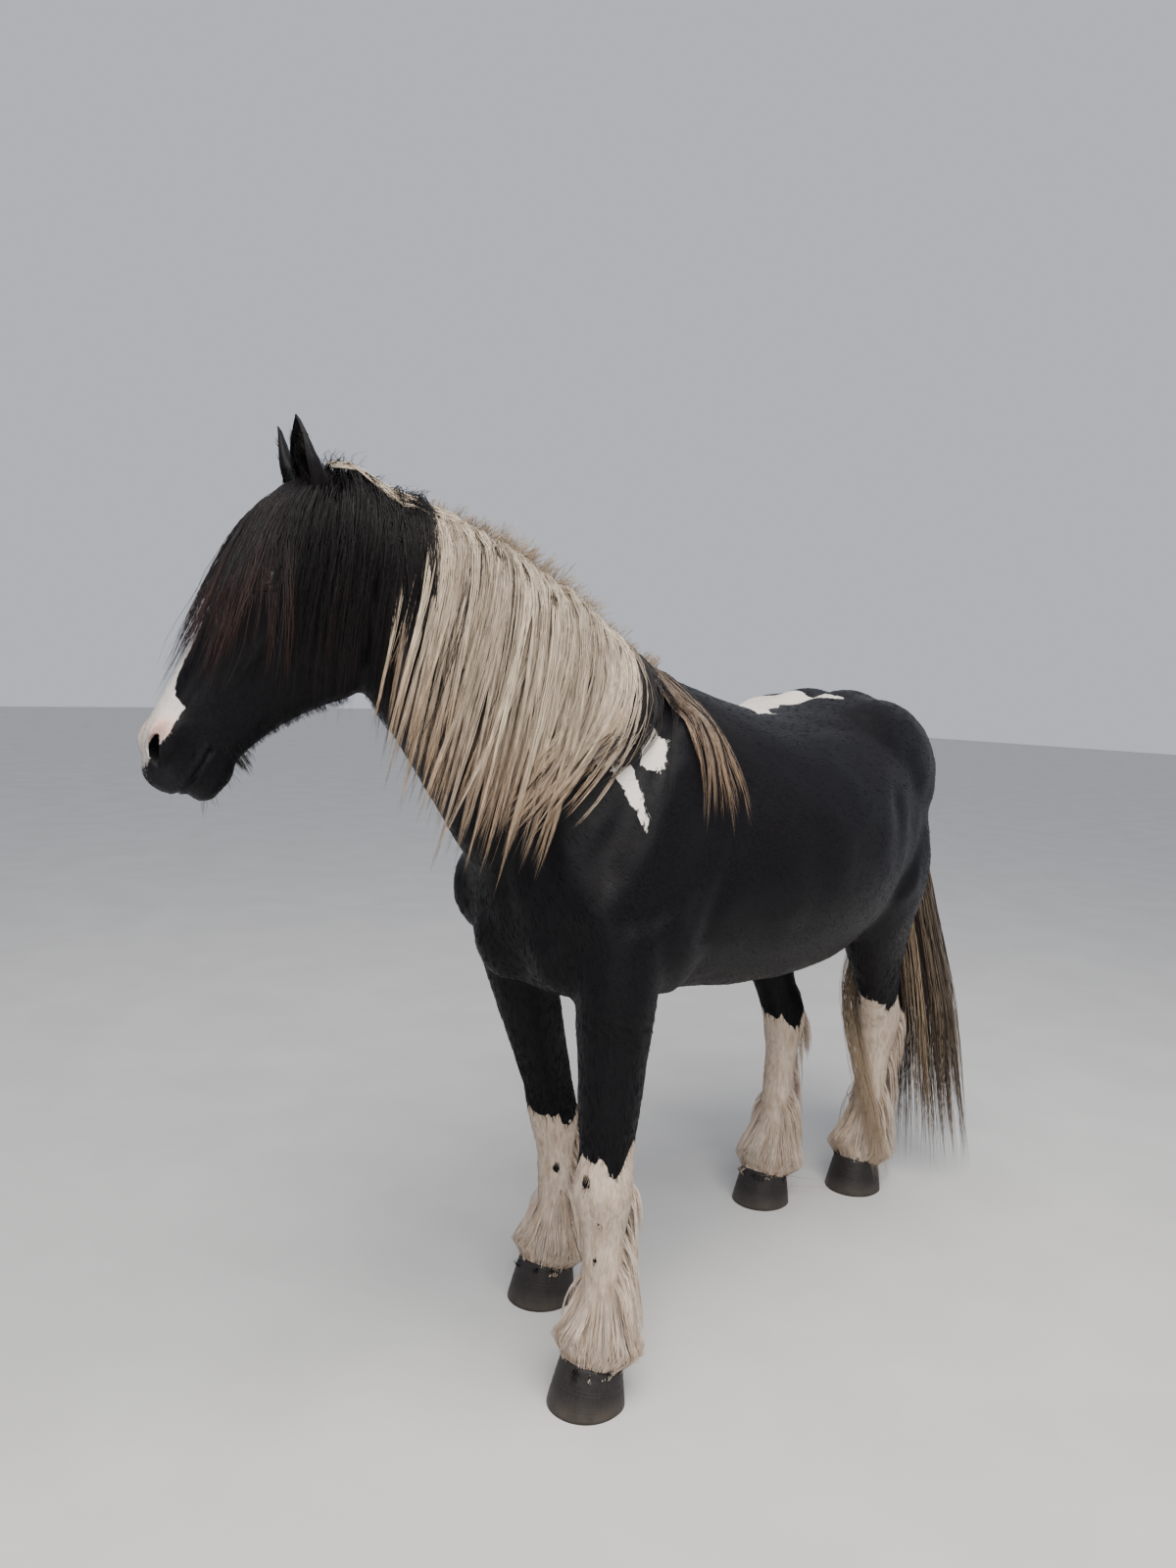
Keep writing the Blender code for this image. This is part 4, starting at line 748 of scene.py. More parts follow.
def ears():
    """Both ears as thin, open shells with a closed foot."""
    points, faces = [], []
    for side in (1, -1):
        first = len(points)
        shares = [-0.12 + 1.12 * (i / (EAR_ROWS - 1)) for i in range(EAR_ROWS)]
        turns = [-1 + 2 * j / (EAR_TURNS - 1) for j in range(EAR_TURNS)]
        for thick_share in (0, 1):
            for share in shares:
                thick = thick_share * (0.0034 - 0.0020 * max(0, share))
                rest = max(share, 0.04) if thick_share else share
                for turn in turns:
                    points.append(ear_surface(side, rest, turn, thick))
        block = EAR_ROWS * EAR_TURNS

        def spot(inner, row, column):
            return first + inner * block + row * EAR_TURNS + column

        open_row = next(i for i, share in enumerate(shares) if share > 0.05)
        for i in range(EAR_ROWS - 1):
            for j in range(EAR_TURNS - 1):
                outer = (spot(0, i, j), spot(0, i, j + 1), spot(0, i + 1, j + 1), spot(0, i + 1, j))
                faces.append(outer if side < 0 else outer[::-1])
                if i >= open_row:
                    inner = (spot(1, i, j), spot(1, i + 1, j), spot(1, i + 1, j + 1), spot(1, i, j + 1))
                    faces.append(inner if side < 0 else inner[::-1])
            for column, flip in ((0, False), (EAR_TURNS - 1, True)):
                if i >= open_row:
                    edge = (spot(0, i, column), spot(0, i + 1, column), spot(1, i + 1, column), spot(1, i, column))
                    faces.append(edge if flip == (side < 0) else edge[::-1])
    return np.array(points), np.array(faces)


def joined_in(mesh, points, faces):
    """Adds points and faces to a mesh; a face that is there twice is left out."""
    shape = bmesh.new()
    shape.from_mesh(mesh)
    verts = [shape.verts.new(p) for p in points]
    for face in faces:
        try:
            shape.faces.new([verts[i] for i in face])
        except ValueError:
            continue
    shape.to_mesh(mesh)
    shape.free()


def fine_places(points):
    """Where the skin needs its finest faces: round the eyes, the nostrils and the mouth."""
    local = along_head(points)
    chosen = np.zeros(len(points), bool)
    for side in (1, -1):
        chosen |= np.linalg.norm(points - eye_axes(side)[0], axis=1) < 0.040
        chosen |= np.linalg.norm(local - np.array(mirrored([NOSTRIL], side)[0]), axis=1) < 0.042
        chosen |= ridge(local, mirrored(MOUTH, side), 0.014, 1.0) > 0.37
    return chosen


def drawn_in(mesh):
    """The skin's lower ends pulled together, so that the horn of the hooves covers them."""
    points = coords(mesh)
    for _, _, crown in LEGS.values():
        foot = at(*crown)
        top = crown[2] - CORONET_SLOPE * (points[:, 0] - foot[0]) + 0.001
        low = (np.linalg.norm(points[:, :2] - foot[:2], axis=1) < 0.12) & (points[:, 2] < top)
        points[low, :2] += (foot[:2] - points[low, :2]) * 0.22
    place_at(mesh, points)


def make_skin():
    """The whole skin, body, head, lids and ears, and a search tree over it without its lids and ears."""
    mesh = body_form()
    target = tree_of(head_form())
    refine(mesh, lambda places: in_head(places, 0.0), 2)
    points = coords(mesh)
    head = in_head(points)
    apart = np.full(len(points), SEAM_REACH)
    for i in np.nonzero(in_head(points, -0.10))[0]:
        hit, _, _, distance = target.find_nearest(Vector(points[i]), SEAM_REACH)
        if hit is not None:
            apart[i] = distance
    points[head] = onto(points[head], target, 0.007, 0.018)
    place_at(mesh, points)
    relaxed(mesh, 3, back=0, weight=head * 0.8)
    seam = ramp(apart, 0.0015, 0.008) * ramp(0.085 - apart, 0, 0.04)
    seam *= along_head(points)[:, 0] < 0.34
    relaxed(mesh, 30, back=0, weight=seam)
    refine(mesh, fine_places, 1)
    relaxed(mesh, 2, 0.4, 0, in_head(coords(mesh), 0.40) * 0.8)
    shape_details(mesh)
    shape_nostrils(mesh)
    shape_sockets(mesh)
    relaxed(mesh, 1, 0.3, 0, in_head(coords(mesh), 0.0) * 1.0)
    place_at(mesh, coords(mesh) - normals(mesh) * COAT_DEPTH)
    drawn_in(mesh)
    bare = tree_of(mesh)
    joined_in(mesh, *lids(bare))
    joined_in(mesh, *ears())
    return mesh, bare


# Markings

def into(outline, x, y):
    """How far inside an outline each point is, in metres; below zero outside."""
    corners = np.array(outline)
    nearest = np.full(len(x), 9.0)
    inside = np.zeros(len(x), bool)
    for (ax, ay), (bx, by) in zip(corners, np.roll(corners, -1, 0)):
        dx, dy = bx - ax, by - ay
        t = np.clip(((x - ax) * dx + (y - ay) * dy) / (dx * dx + dy * dy), 0, 1)
        nearest = np.minimum(nearest, np.hypot(x - ax - t * dx, y - ay - t * dy))
        crosses = (ay > y) != (by > y)
        with np.errstate(divide="ignore", invalid="ignore"):
            inside ^= crosses & (x < (bx - ax) * (y - ay) / (by - ay) + ax)
    return np.where(inside, nearest, -nearest)


# Places of the crest under the fair mane, where the skin is white; filled in once the skin is made
mane_roots = []
HIDDEN = -0.05


def on_leg(leg, x, y, z, top):
    """Which points below a height belong to a leg."""
    side = -1 if leg.endswith("left") else 1
    return (y * side > 0) & ((x < -0.1) == leg.startswith("front")) & (z < top)


def white_at(points):
    """How far inside the white each point of the body is, in metres, below zero in the black."""
    x, y, z = (points - SHIFT).T
    local = along_head(points)
    u, v, w = local.T
    flat = points * (1, 1, 0)
    white = np.full(len(points), HIDDEN)
    head = in_head(points, -0.02)
    ragged = ripple(points, 0.010, 21) * 0.006 + ripple(points * (1, 1, 0.25), 0.0045, 22) * 0.004
    loin = np.where(z > 1.25, into(LOIN_WHITE, x, y) + ripple(points, 0.045, 27) * 0.010, HIDDEN)
    for outline in SHOULDER_WHITES:
        white = np.maximum(white, np.where((y < 0.02) & (x < -0.4), into(outline, x, z), HIDDEN))
    white = np.maximum(white, np.where((y > 0.02) & (x < -0.4), into(FAR_WHITE, x, z), HIDDEN))
    white = np.maximum(white, loin + ragged * 0.4) + ragged * 0.35
    for place in mane_roots:
        white = np.maximum(white, 0.040 - np.linalg.norm(points - place, axis=1))
    for leg, (height, low_x, before, behind) in STOCKINGS.items():
        slope = np.where(x < low_x, (low_x - x) * before, (x - low_x) * behind)
        border = height + np.minimum(slope, 0.10) + ripple(flat, 0.014, 23) * 0.016
        border += np.abs(ripple(flat, 0.0045, 24)) * 0.022 + ripple(flat, 0.003, 25) * 0.006
        white = np.where(on_leg(leg, x, y, z, 0.75), border - z, white)
    for place, radius in SPOTS:
        spot = np.linalg.norm((points - at(*place)) * (1, 1, 0.7), axis=1) - radius
        white = np.minimum(white, np.maximum(spot, HIDDEN) + (spot > 0.03))
    width = read_off(BLAZE, u) + 0.2 * ragged
    low = read_off(BLAZE_LOW, u) + 0.2 * ragged
    blaze = np.minimum(width - np.abs(w), v - low)
    # The inside of each nostril is left black: painted shade in its hollow
    for side in (1, -1):
        blaze = np.where(nostril_shape(local, side)[0] > 0.12, HIDDEN, blaze)
    white = np.where(head, np.where(v > -0.02, blaze, HIDDEN), white)
    return np.clip(white, HIDDEN, -HIDDEN)


def bare_at(points):
    """How pink and how grey the bare skin of the muzzle is at each point, from 0 to 1."""
    local = along_head(points)
    u, v, w = local.T
    head = in_head(points, 0.3)
    pink = np.zeros(len(points))
    grey = np.zeros(len(points))
    for side in (1, -1):
        place = np.linalg.norm(np.stack([(u - 0.524) * 0.8, v - 0.046, w - 0.054 * side], 1), axis=1)
        pink = np.maximum(pink, np.exp(-(place / 0.021) ** 2) * head)
        _, rim = nostril_shape(local, side)
        grey = np.maximum(grey, rim * head * 0.55)
    front = ramp(u, 0.560, 0.592) * ramp(0.055 - v, 0.0, 0.05) * head
    grey = np.maximum(grey, front * 0.9)
    return pink, grey


def marks_at(points):
    """All that the coat's material needs to know at each point."""
    pink, grey = bare_at(points)
    return {"white": white_at(points), "pink": pink, "grey": grey, "height": points[:, 2]}


# Materials

def feed(tree, socket, value):
    """Links a socket to another one, or sets its number or colour."""
    if isinstance(value, bpy.types.NodeSocket):
        tree.links.new(value, socket)
    else:
        socket.default_value = (*value, 1) if socket.type == "RGBA" and len(value) == 3 else value


def node(tree, kind, settings=None, **inputs):
    """A shader node with its settings, and its inputs linked or set."""
    made = tree.nodes.new(kind)
    for key, value in (settings or {}).items():
        setattr(made, key, value)
    for key, value in inputs.items():
        feed(tree, made.inputs[key.replace("_", " ")], value)
    return made


def maths(tree, operation, *values):
    """The result of a sum on sockets or numbers."""
    made = node(tree, "ShaderNodeMath", {"operation": operation})
    for socket, value in zip(made.inputs, values):
        feed(tree, socket, value)
    return made.outputs[0]


def times(tree, a, b):
    """A product of sockets or numbers."""
    return maths(tree, "MULTIPLY", a, b)


def length_of(tree, a, b):
    """The length of a way with these two parts."""
    return maths(tree, "SQRT", maths(tree, "ADD", times(tree, a, a), times(tree, b, b)))


def mixed(tree, factor, a, b, blend="MIX"):
    """Two colours mixed or multiplied by a factor."""
    made = node(tree, "ShaderNodeMix", {"data_type": "RGBA", "blend_type": blend})
    for number, value in ((0, factor), (6, a), (7, b)):
        feed(tree, made.inputs[number], value)
    return made.outputs[2]


def spread(tree, value, low, high, to_low=0.0, to_high=1.0):
    """A value brought from one range to another, smoothly and held at the ends."""
    made = node(tree, "ShaderNodeMapRange", {"interpolation_type": "SMOOTHSTEP"})
    for socket, number in zip(made.inputs, (value, low, high, to_low, to_high)):
        feed(tree, socket, number)
    return made.outputs[0]


def noise(tree, scale, stretch=(1, 1, 1), detail=3.0):
    """Noise over the object's own coordinates."""
    place = node(tree, "ShaderNodeTexCoord").outputs["Object"]
    mapped = node(tree, "ShaderNodeMapping", Vector=place, Scale=stretch).outputs[0]
    return node(tree, "ShaderNodeTexNoise", Vector=mapped, Scale=scale, Detail=detail).outputs[0]


def attribute(tree, name):
    """A number that the mesh carries."""
    return node(tree, "ShaderNodeAttribute", {"attribute_name": name}).outputs["Fac"]


def new_look(name, **fixed):
    """A material, its tree and its shader."""
    look = bpy.data.materials.new(name)
    look.use_nodes = True
    shader = look.node_tree.nodes["Principled BSDF"]
    for key, value in fixed.items():
        shader.inputs[key.replace("_", " ")].default_value = value
    return look, look.node_tree, shader


BLACK = (0.0030, 0.0027, 0.0036)
BROWNED = (0.0062, 0.0042, 0.0038)
CREAM = (0.575, 0.465, 0.37)
WHITE = (0.63, 0.595, 0.55)
PINK = (0.68, 0.36, 0.28)
GREY = (0.16, 0.15, 0.165)
DARK = (0.012, 0.011, 0.013)


def coat_look(name, on_skin):
    """Short black and white hair; on the skin noise cuts the white's border and fine hair shows as bump."""
    look, tree, shader = new_look(name, Roughness=0.46, Sheen_Weight=0.022, Sheen_Roughness=0.40,
                                  Sheen_Tint=(0.60, 0.63, 0.78, 1), Specular_IOR_Level=0.11)
    white = attribute(tree, "white")
    pattern = noise(tree, 160, (1, 1, 0.35), 4)
    if on_skin:
        white = maths(tree, "ADD", white, maths(tree, "MULTIPLY_ADD", pattern, 0.012, -0.006))
    share = spread(tree, white, -0.0012, 0.0012)
    broad = noise(tree, 5.0)
    fine = noise(tree, 220, (0.5, 1.6, 0.8), 2)
    black = mixed(tree, spread(tree, broad, 0.45, 0.75, 0.0, 0.5), BLACK, BROWNED)
    black = mixed(tree, spread(tree, fine, 0.35, 0.75, 0.0, 0.35), black, (0.0072, 0.0068, 0.0088))
    low = spread(tree, attribute(tree, "height"), 0.50, 0.90)
    pale = mixed(tree, low, CREAM, WHITE)
    pale = mixed(tree, spread(tree, broad, 0.40, 0.70, 0.0, 0.5), pale, (0.60, 0.47, 0.36))
    pale = mixed(tree, spread(tree, fine, 0.30, 0.80, 0.0, 0.45), pale, (0.50, 0.42, 0.34))
    # Darker tan streaks down the legs: partly the hair's own tan, partly painted shade between the hairs
    tan_and_shade_streaks = noise(tree, 75, (1, 1, 0.16), 3)
    on_legs = spread(tree, attribute(tree, "height"), 0.85, 0.60)
    pale = mixed(tree, times(tree, spread(tree, tan_and_shade_streaks, 0.42, 0.75, 0.0, 0.75), on_legs), pale, (0.40, 0.28, 0.19))
    colour = mixed(tree, share, black, pale)
    colour = mixed(tree, times(tree, attribute(tree, "pink"), share), colour, PINK)
    colour = mixed(tree, attribute(tree, "grey"), colour, mixed(tree, share, DARK, GREY))
    feed(tree, shader.inputs["Base Color"], colour)
    rough = spread(tree, fine, 0.3, 0.7, 0.40, 0.54)
    feed(tree, shader.inputs["Roughness"], maths(tree, "MULTIPLY_ADD", share, 0.25, rough))
    if on_skin:
        streaks = noise(tree, 300, (0.30, 1.2, 0.9), 2)
        creases = noise(tree, 38, (1, 1, 1), 4)
        bump = node(tree, "ShaderNodeBump", Strength=0.30, Distance=0.0016, Height=streaks)
        again = node(tree, "ShaderNodeBump", Strength=0.16, Distance=0.004, Height=creases, Normal=bump.outputs[0])
        feed(tree, shader.inputs["Normal"], again.outputs[0])
    return look


# Looks of long hair: colours at root, middle and tip and another colour; roughness, how much strands differ in
# darkness, shine, where and in which locks the tip's colour shows, and how much of the other colour strands take
HAIR_LOOKS = {
    "mane_hair": ([(0.45, 0.375, 0.285), (0.52, 0.43, 0.32), (0.47, 0.32, 0.20), (0.30, 0.235, 0.18)],
                  0.5, 0.70, 0.30, (0.50, 1.0, -0.3), 0.65),
    "black_hair": ([(0.0030, 0.0028, 0.0034), (0.0044, 0.0037, 0.0040), (0.045, 0.018, 0.012),
                    (0.0090, 0.0060, 0.0058)], 0.40, 0.7, 0.24, (0.62, 1.0, 0.45), 0.5),
    "forelock_worn": ([(0.0030, 0.0028, 0.0034), (0.0060, 0.0042, 0.0042), (0.120, 0.042, 0.028),
                       (0.014, 0.0075, 0.0065)], 0.40, 0.7, 0.26, (0.45, 0.95, 0.30), 0.6),
    "withers_hair": ([(0.012, 0.009, 0.008), (0.24, 0.175, 0.125), (0.44, 0.29, 0.18), (0.10, 0.07, 0.05)],
                     0.5, 0.6, 0.3, (0.45, 0.9, -0.3), 0.75),
    "tail_hair": ([(0.014, 0.010, 0.008), (0.040, 0.027, 0.020), (0.090, 0.060, 0.040), (0.52, 0.39, 0.26)],
                  0.48, 0.6, 0.3, (0.5, 1.0, -0.3), 0.30),
    "feather_hair": ([(0.66, 0.55, 0.455), (0.74, 0.625, 0.52), (0.74, 0.61, 0.49), (0.62, 0.47, 0.345)],
                     0.6, 0.30, 0.22, (0.5, 1.0, -0.3), 0.65),
}


def hair_look(name, colours, roughness, darken, shine, tips, mixing):
    """Long hair: colours from root to tip, and another colour from lock to lock and strand to strand.

    The tips' colour starts and is whole at two shares of the length, in locks above a number.
    """
    root, middle, tip, other = colours
    look, tree, shader = new_look(name, Roughness=roughness, Specular_IOR_Level=shine)
    along = attribute(tree, "along")
    lock, strand = attribute(tree, "lock"), attribute(tree, "strand")
    colour = mixed(tree, spread(tree, along, 0.0, 0.35), root, middle)
    start, end, choice = tips
    ends = times(tree, spread(tree, along, start, end), spread(tree, lock, choice - 0.01, choice + 0.25))
    colour = mixed(tree, ends, colour, tip)
    colour = mixed(tree, spread(tree, lock, 0.25, 0.95, 0.0, 0.80), colour, other)
    colour = mixed(tree, spread(tree, strand, 0.62, 0.95, 0.0, mixing), colour, other)
    colour = mixed(tree, spread(tree, lock, 1.4, 1.6), colour, (0.012, 0.009, 0.009))
    shade = maths(tree, "MULTIPLY_ADD", strand, darken, 1.0 - darken * 0.62)
    streak = spread(tree, noise(tree, 90, (1, 1, 0.12), 2), 0.3, 0.7, 0.82, 1.12)
    value = times(tree, shade, streak)
    bright = node(tree, "ShaderNodeCombineColor", Red=value, Green=value, Blue=value).outputs[0]
    feed(tree, shader.inputs["Base Color"], mixed(tree, 1.0, colour, bright, "MULTIPLY"))
    return look


# The short coat

def lie_at(points, out):
    """The way the short hair lies at each point."""
    x, _, z = (points - SHIFT).T
    lie = np.stack([np.ones(len(points)), 0 * x, -0.45 - 0.6 * ramp(1.15 - z, 0, 0.3)], 1)
    lie[z < 0.72] = (0.12, 0, -1)
    neck = (x < -0.60) & (z > 1.1)
    lie[neck] = (0.55, 0, -0.8)
    head = in_head(points, 0.0)
    lie[head] = AXES[0] * 0.9 - AXES[1] * 0.25
    lie += 0.10 * np.stack([ripple(points, 0.05, 31), ripple(points, 0.05, 32), ripple(points, 0.05, 33)], 1)
    return unit(lie - out * np.sum(lie * out, 1, keepdims=True))


def roots(mesh, count, wanted, source):
    """Random places on the skin with their outward ways, thinned by how wanted they are."""
    mesh.calc_loop_triangles()
    faces = np.empty(len(mesh.loop_triangles) * 3, np.int32)
    mesh.loop_triangles.foreach_get("vertices", faces)
    faces = faces.reshape(-1, 3)
    points, out = coords(mesh), normals(mesh)
    a, b, c = points[faces[:, 0]], points[faces[:, 1]], points[faces[:, 2]]
    area = np.linalg.norm(np.cross(b - a, c - a), axis=1) * wanted((a + b + c) / 3)
    picked = source.choice(len(faces), int(count), p=area / area.sum())
    s, t = source.random(len(picked)), source.random(len(picked))
    over = s + t > 1
    s, t = np.where(over, 1 - s, s)[:, None], np.where(over, 1 - t, t)[:, None]
    f = faces[picked]
    places, ways = [rows[f[:, 0]] * (1 - s - t) + rows[f[:, 1]] * s + rows[f[:, 2]] * t for rows in (points, out)]
    return places, unit(ways)


def chart_of(points):
    """Where each point of the skin lies on its unwrap: trunk and neck above, head beside them, legs below."""
    x, y, z = (points - SHIFT).T
    u, v, w = along_head(points).T
    chart = np.stack([(x + 1.05) / 1.95, 0.36 + 0.60 * (np.arctan2(z - 1.08, y) / (2 * np.pi) + 0.5)], 1)
    chart[:, 0] = 0.32 + 0.67 * chart[:, 0]
    head = in_head(points, -0.02)
    around = np.arctan2(v + 0.04, w) / (2 * np.pi) + 0.5
    chart[head] = np.stack([0.01 + 0.28 * around, 0.36 + 0.60 * (u + 0.05) / 0.70], 1)[head]
    for i, (leg, joints) in enumerate(LEGS.items()):
        mine = on_leg(leg, x, y, z, 0.72)
        middle = read_off([(p[2], p[0]) for p in joints[::-1]], z)
        across = read_off([(p[2], p[1]) for p in joints[::-1]], z)
        around = np.arctan2(y - across, x - middle) / (2 * np.pi) + 0.5
        chart[mine] = np.stack([0.01 + 0.245 * i + 0.235 * around, 0.01 + 0.32 * z / 0.72], 1)[mine]
    return np.clip(chart, 0.002, 0.994)


def tufts(name, mesh, count, wanted, length, width, lift, look, source):
    """Short tufts: thin three-sided spikes that lie along the coat."""
    places, out = roots(mesh, count * FEWER, wanted, source)
    lie = lie_at(places, out)
    n = len(places)
    turn = source.normal(0, 0.16, n)[:, None]
    side = np.cross(out, lie)
    way = unit(lie + side * turn)
    side = np.cross(out, way)
    angle = lift(places) * source.uniform(0.5, 1.6, n)
    reach = length(places) * source.uniform(0.65, 1.25, n)
    half = (width(places) * 0.5)[:, None]
    tip = places + (way * np.cos(angle)[:, None] + out * np.sin(angle)[:, None]) * reach[:, None]
    tip[:, 2] = np.maximum(tip[:, 2], TIP_FLOOR)
    foot = places - out * 0.0008
    corners = [foot + side * half, foot - side * half, places + out * half * 0.55 + way * half]
    points = np.stack([*corners, tip], 1).reshape(-1, 3)
    base = np.arange(n)[:, None] * 4
    faces = np.stack([base + np.array(f) for f in ((0, 2, 3), (2, 1, 3), (1, 0, 3))], 1).reshape(-1, 3)
    marks = marks_at(places)
    marks["white"] = marks["white"] + source.normal(0, 0.0022, n)
    chart = chart_of(places)[:, None, :] + np.array([(0, 0), (PATCH, 0), (PATCH / 2, 0), (PATCH / 2, PATCH)])
    values = {key: np.repeat(numbers, 4) for key, numbers in marks.items()}
    made = mesh_of(name, points, faces, values, chart.reshape(-1, 2))
    made.normals_split_custom_set_from_vertices(np.repeat(unit(out + source.normal(0, 0.20, out.shape)), 4, 0))
    show(name, made, look)


def body_wanted(places):
    """How thick the short coat's tufts stand on the body."""
    x, _, z = (places - SHIFT).T
    edge = np.maximum(ramp(0.86 - z, 0, 0.08), ramp(-0.62 - x, 0, 0.10) * ramp(1.25 - z, 0, 0.1))
    edge = np.maximum(edge, ramp(x - 0.50, 0, 0.15))
    thick = 0.30 + 0.9 * edge + 3.0 * ramp(0.62 - z, 0, 0.10)
    return np.where(in_head(places, 0.02) | (z < 0.116), 0.0, thick)


def head_wanted(places):
    """How thick they stand on the head: none on the lids, in the nostrils and on the lips' edges."""
    local = along_head(places)
    some = in_head(places, 0.0) * 1.0
    for side in (1, -1):
        some *= np.linalg.norm(places - eye_axes(side)[0], axis=1) > 0.030
        some *= nostril_shape(local, side)[0] <= 0
        some *= ridge(local, mirrored(MOUTH, side), 0.006, 1.0) < 0.3
    return some


def body_length(places):
    """Longer on the belly, the back of the legs and the white of the legs."""
    z = places[:, 2]
    return 0.015 + 0.002 * ramp(0.60 - z, 0, 0.15) + 0.004 * ramp(0.85 - z, 0, 0.1) * (z > 0.6)


# Long hair

def clear_of(tree, point, least):
    """A point moved out of the skin until it clears it, and the way out."""
    hit, way, _, _ = tree.find_nearest(point)
    offset = point - hit
    if offset.dot(way) < 0:
        return hit + way * least, way
    if offset.length < least:
        return hit + (offset.normalized() if offset.length > 1e-6 else way) * least, way
    return point, way


FALL_STEPS = 24


def fall(tree, start, first, length, clearance, sway=(0, 0, 0), pull=(0, 0, -1), stiff=0.35, later=0.0):
    """A path that leaves start along first, bends to the pull and slides over the skin, and the ways out of it.

    The pull may turn along X later on the path.
    """
    pull, sway = Vector(pull), Vector(sway)
    keep = 1 - (1 - stiff) * 10 / FALL_STEPS
    step = length / FALL_STEPS
    heading = Vector(first).normalized()
    path = [Vector(start)]
    ways = [clear_of(tree, path[0], clearance)[1]]
    for i in range(FALL_STEPS):
        wave = sway * math.sin(2.2 * (i + 1) / FALL_STEPS * math.pi * 0.5)
        turned = pull + wave * 0.4 + Vector((1.6 * later * ((i + 1) / FALL_STEPS) ** 2, 0, 0))
        heading = (heading * keep + turned * (1 - keep)).normalized()
        rise = clearance * min(1.0, (i + 1) / 4)
        place, way = clear_of(tree, path[-1] + heading * step, rise)
        place.z = max(place.z, TIP_FLOOR)
        if (place - path[-1]).length > 1e-5:
            heading = (place - path[-1]).normalized()
        path.append(place)
        ways.append(way.copy())
    return np.array(path), np.array(ways)


def sampled(path, shares):
    """Points along a path at these shares of it; shares is strands by stations."""
    place = np.clip(shares, 0, 1) * (len(path) - 1)
    i = np.minimum(place.astype(int), len(path) - 2)
    t = (place - i)[..., None]
    return path[i] * (1 - t) + path[i + 1] * t


def strands_along(path, ways, count, source, spread_at, frizz, stations, shorter=0.35):
    """Strands that follow a guide: spread at root, middle and tip, each with its own length and waves."""
    ways = np.broadcast_to(ways, path.shape)
    t = np.linspace(0, 1, stations) ** 0.85
    cut = 1 - shorter * source.random(count) ** 1.6
    line = sampled(path, t[None, :] * cut[:, None])
    out = unit(sampled(ways, t[None, :] * cut[:, None]))
    along = unit(np.gradient(line, axis=1))
    across = unit(np.cross(along, out))
    out = np.cross(across, along)
    angle = source.uniform(0, 2 * np.pi, count)
    radius = np.sqrt(source.random(count))
    wide = np.interp(t, (0, 0.45, 1), spread_at)[None, :] * radius[:, None]
    waves = np.zeros((count, stations, 2))
    for k in (1.0, 2.3, 4.1):
        phase = source.uniform(0, 2 * np.pi, (count, 1, 2))
        waves += np.sin(t[None, :, None] * 2 * np.pi * k + phase) * frizz / k
    waves *= np.minimum(1, t * 3)[None, :, None]
    return (line + across * (np.cos(angle)[:, None] * wide + waves[..., 0])[..., None]
            + out * (np.abs(np.sin(angle))[:, None] * wide * 0.45 + np.abs(waves[..., 1]) * 0.5)[..., None])


def freed(tree, lines, least=0.0012):
    """Strands moved out of the skin wherever they dip into it, past their roots."""
    for line in lines:
        for k in range(2, line.shape[0]):
            place, _ = clear_of(tree, Vector(line[k]), least)
            line[k] = place
        line[:, 2] = np.maximum(line[:, 2], TIP_FLOOR)
    return lines


# Pieces of long hair: width of a strand, the solids in whose place they stand, slot
HAIR_PIECES = {
    "mane_rear": (0.0019, (), "hair_cream"),
    "mane_front": (0.0019, ("mane",), "hair_cream"),
    "mane_withers": (0.0017, (), "hair_cream"),
    "crest_hair": (0.0010, (), "hair_cream"),
    "mane_behind_ears": (0.0013, ("mane_poll",), "hair_black"),
    "forelock_hair": (0.0011, ("forelock",), "hair_black"),
    "jaw_hair": (0.0006, ("beard",), "hair_black"),
    "fine_head_hair": (0.0007, (), "hair_black"),
    "tail_hair": (0.0018, ("tail",), "hair_brown"),
    "tail_inner_hair": (0.0014, ("tail_strand",), "hair_brown"),
}
HAIR_PIECES.update({f"{leg}_feather_hair": (0.00135, (f"{leg}_feather",), "feather") for leg in LEGS})


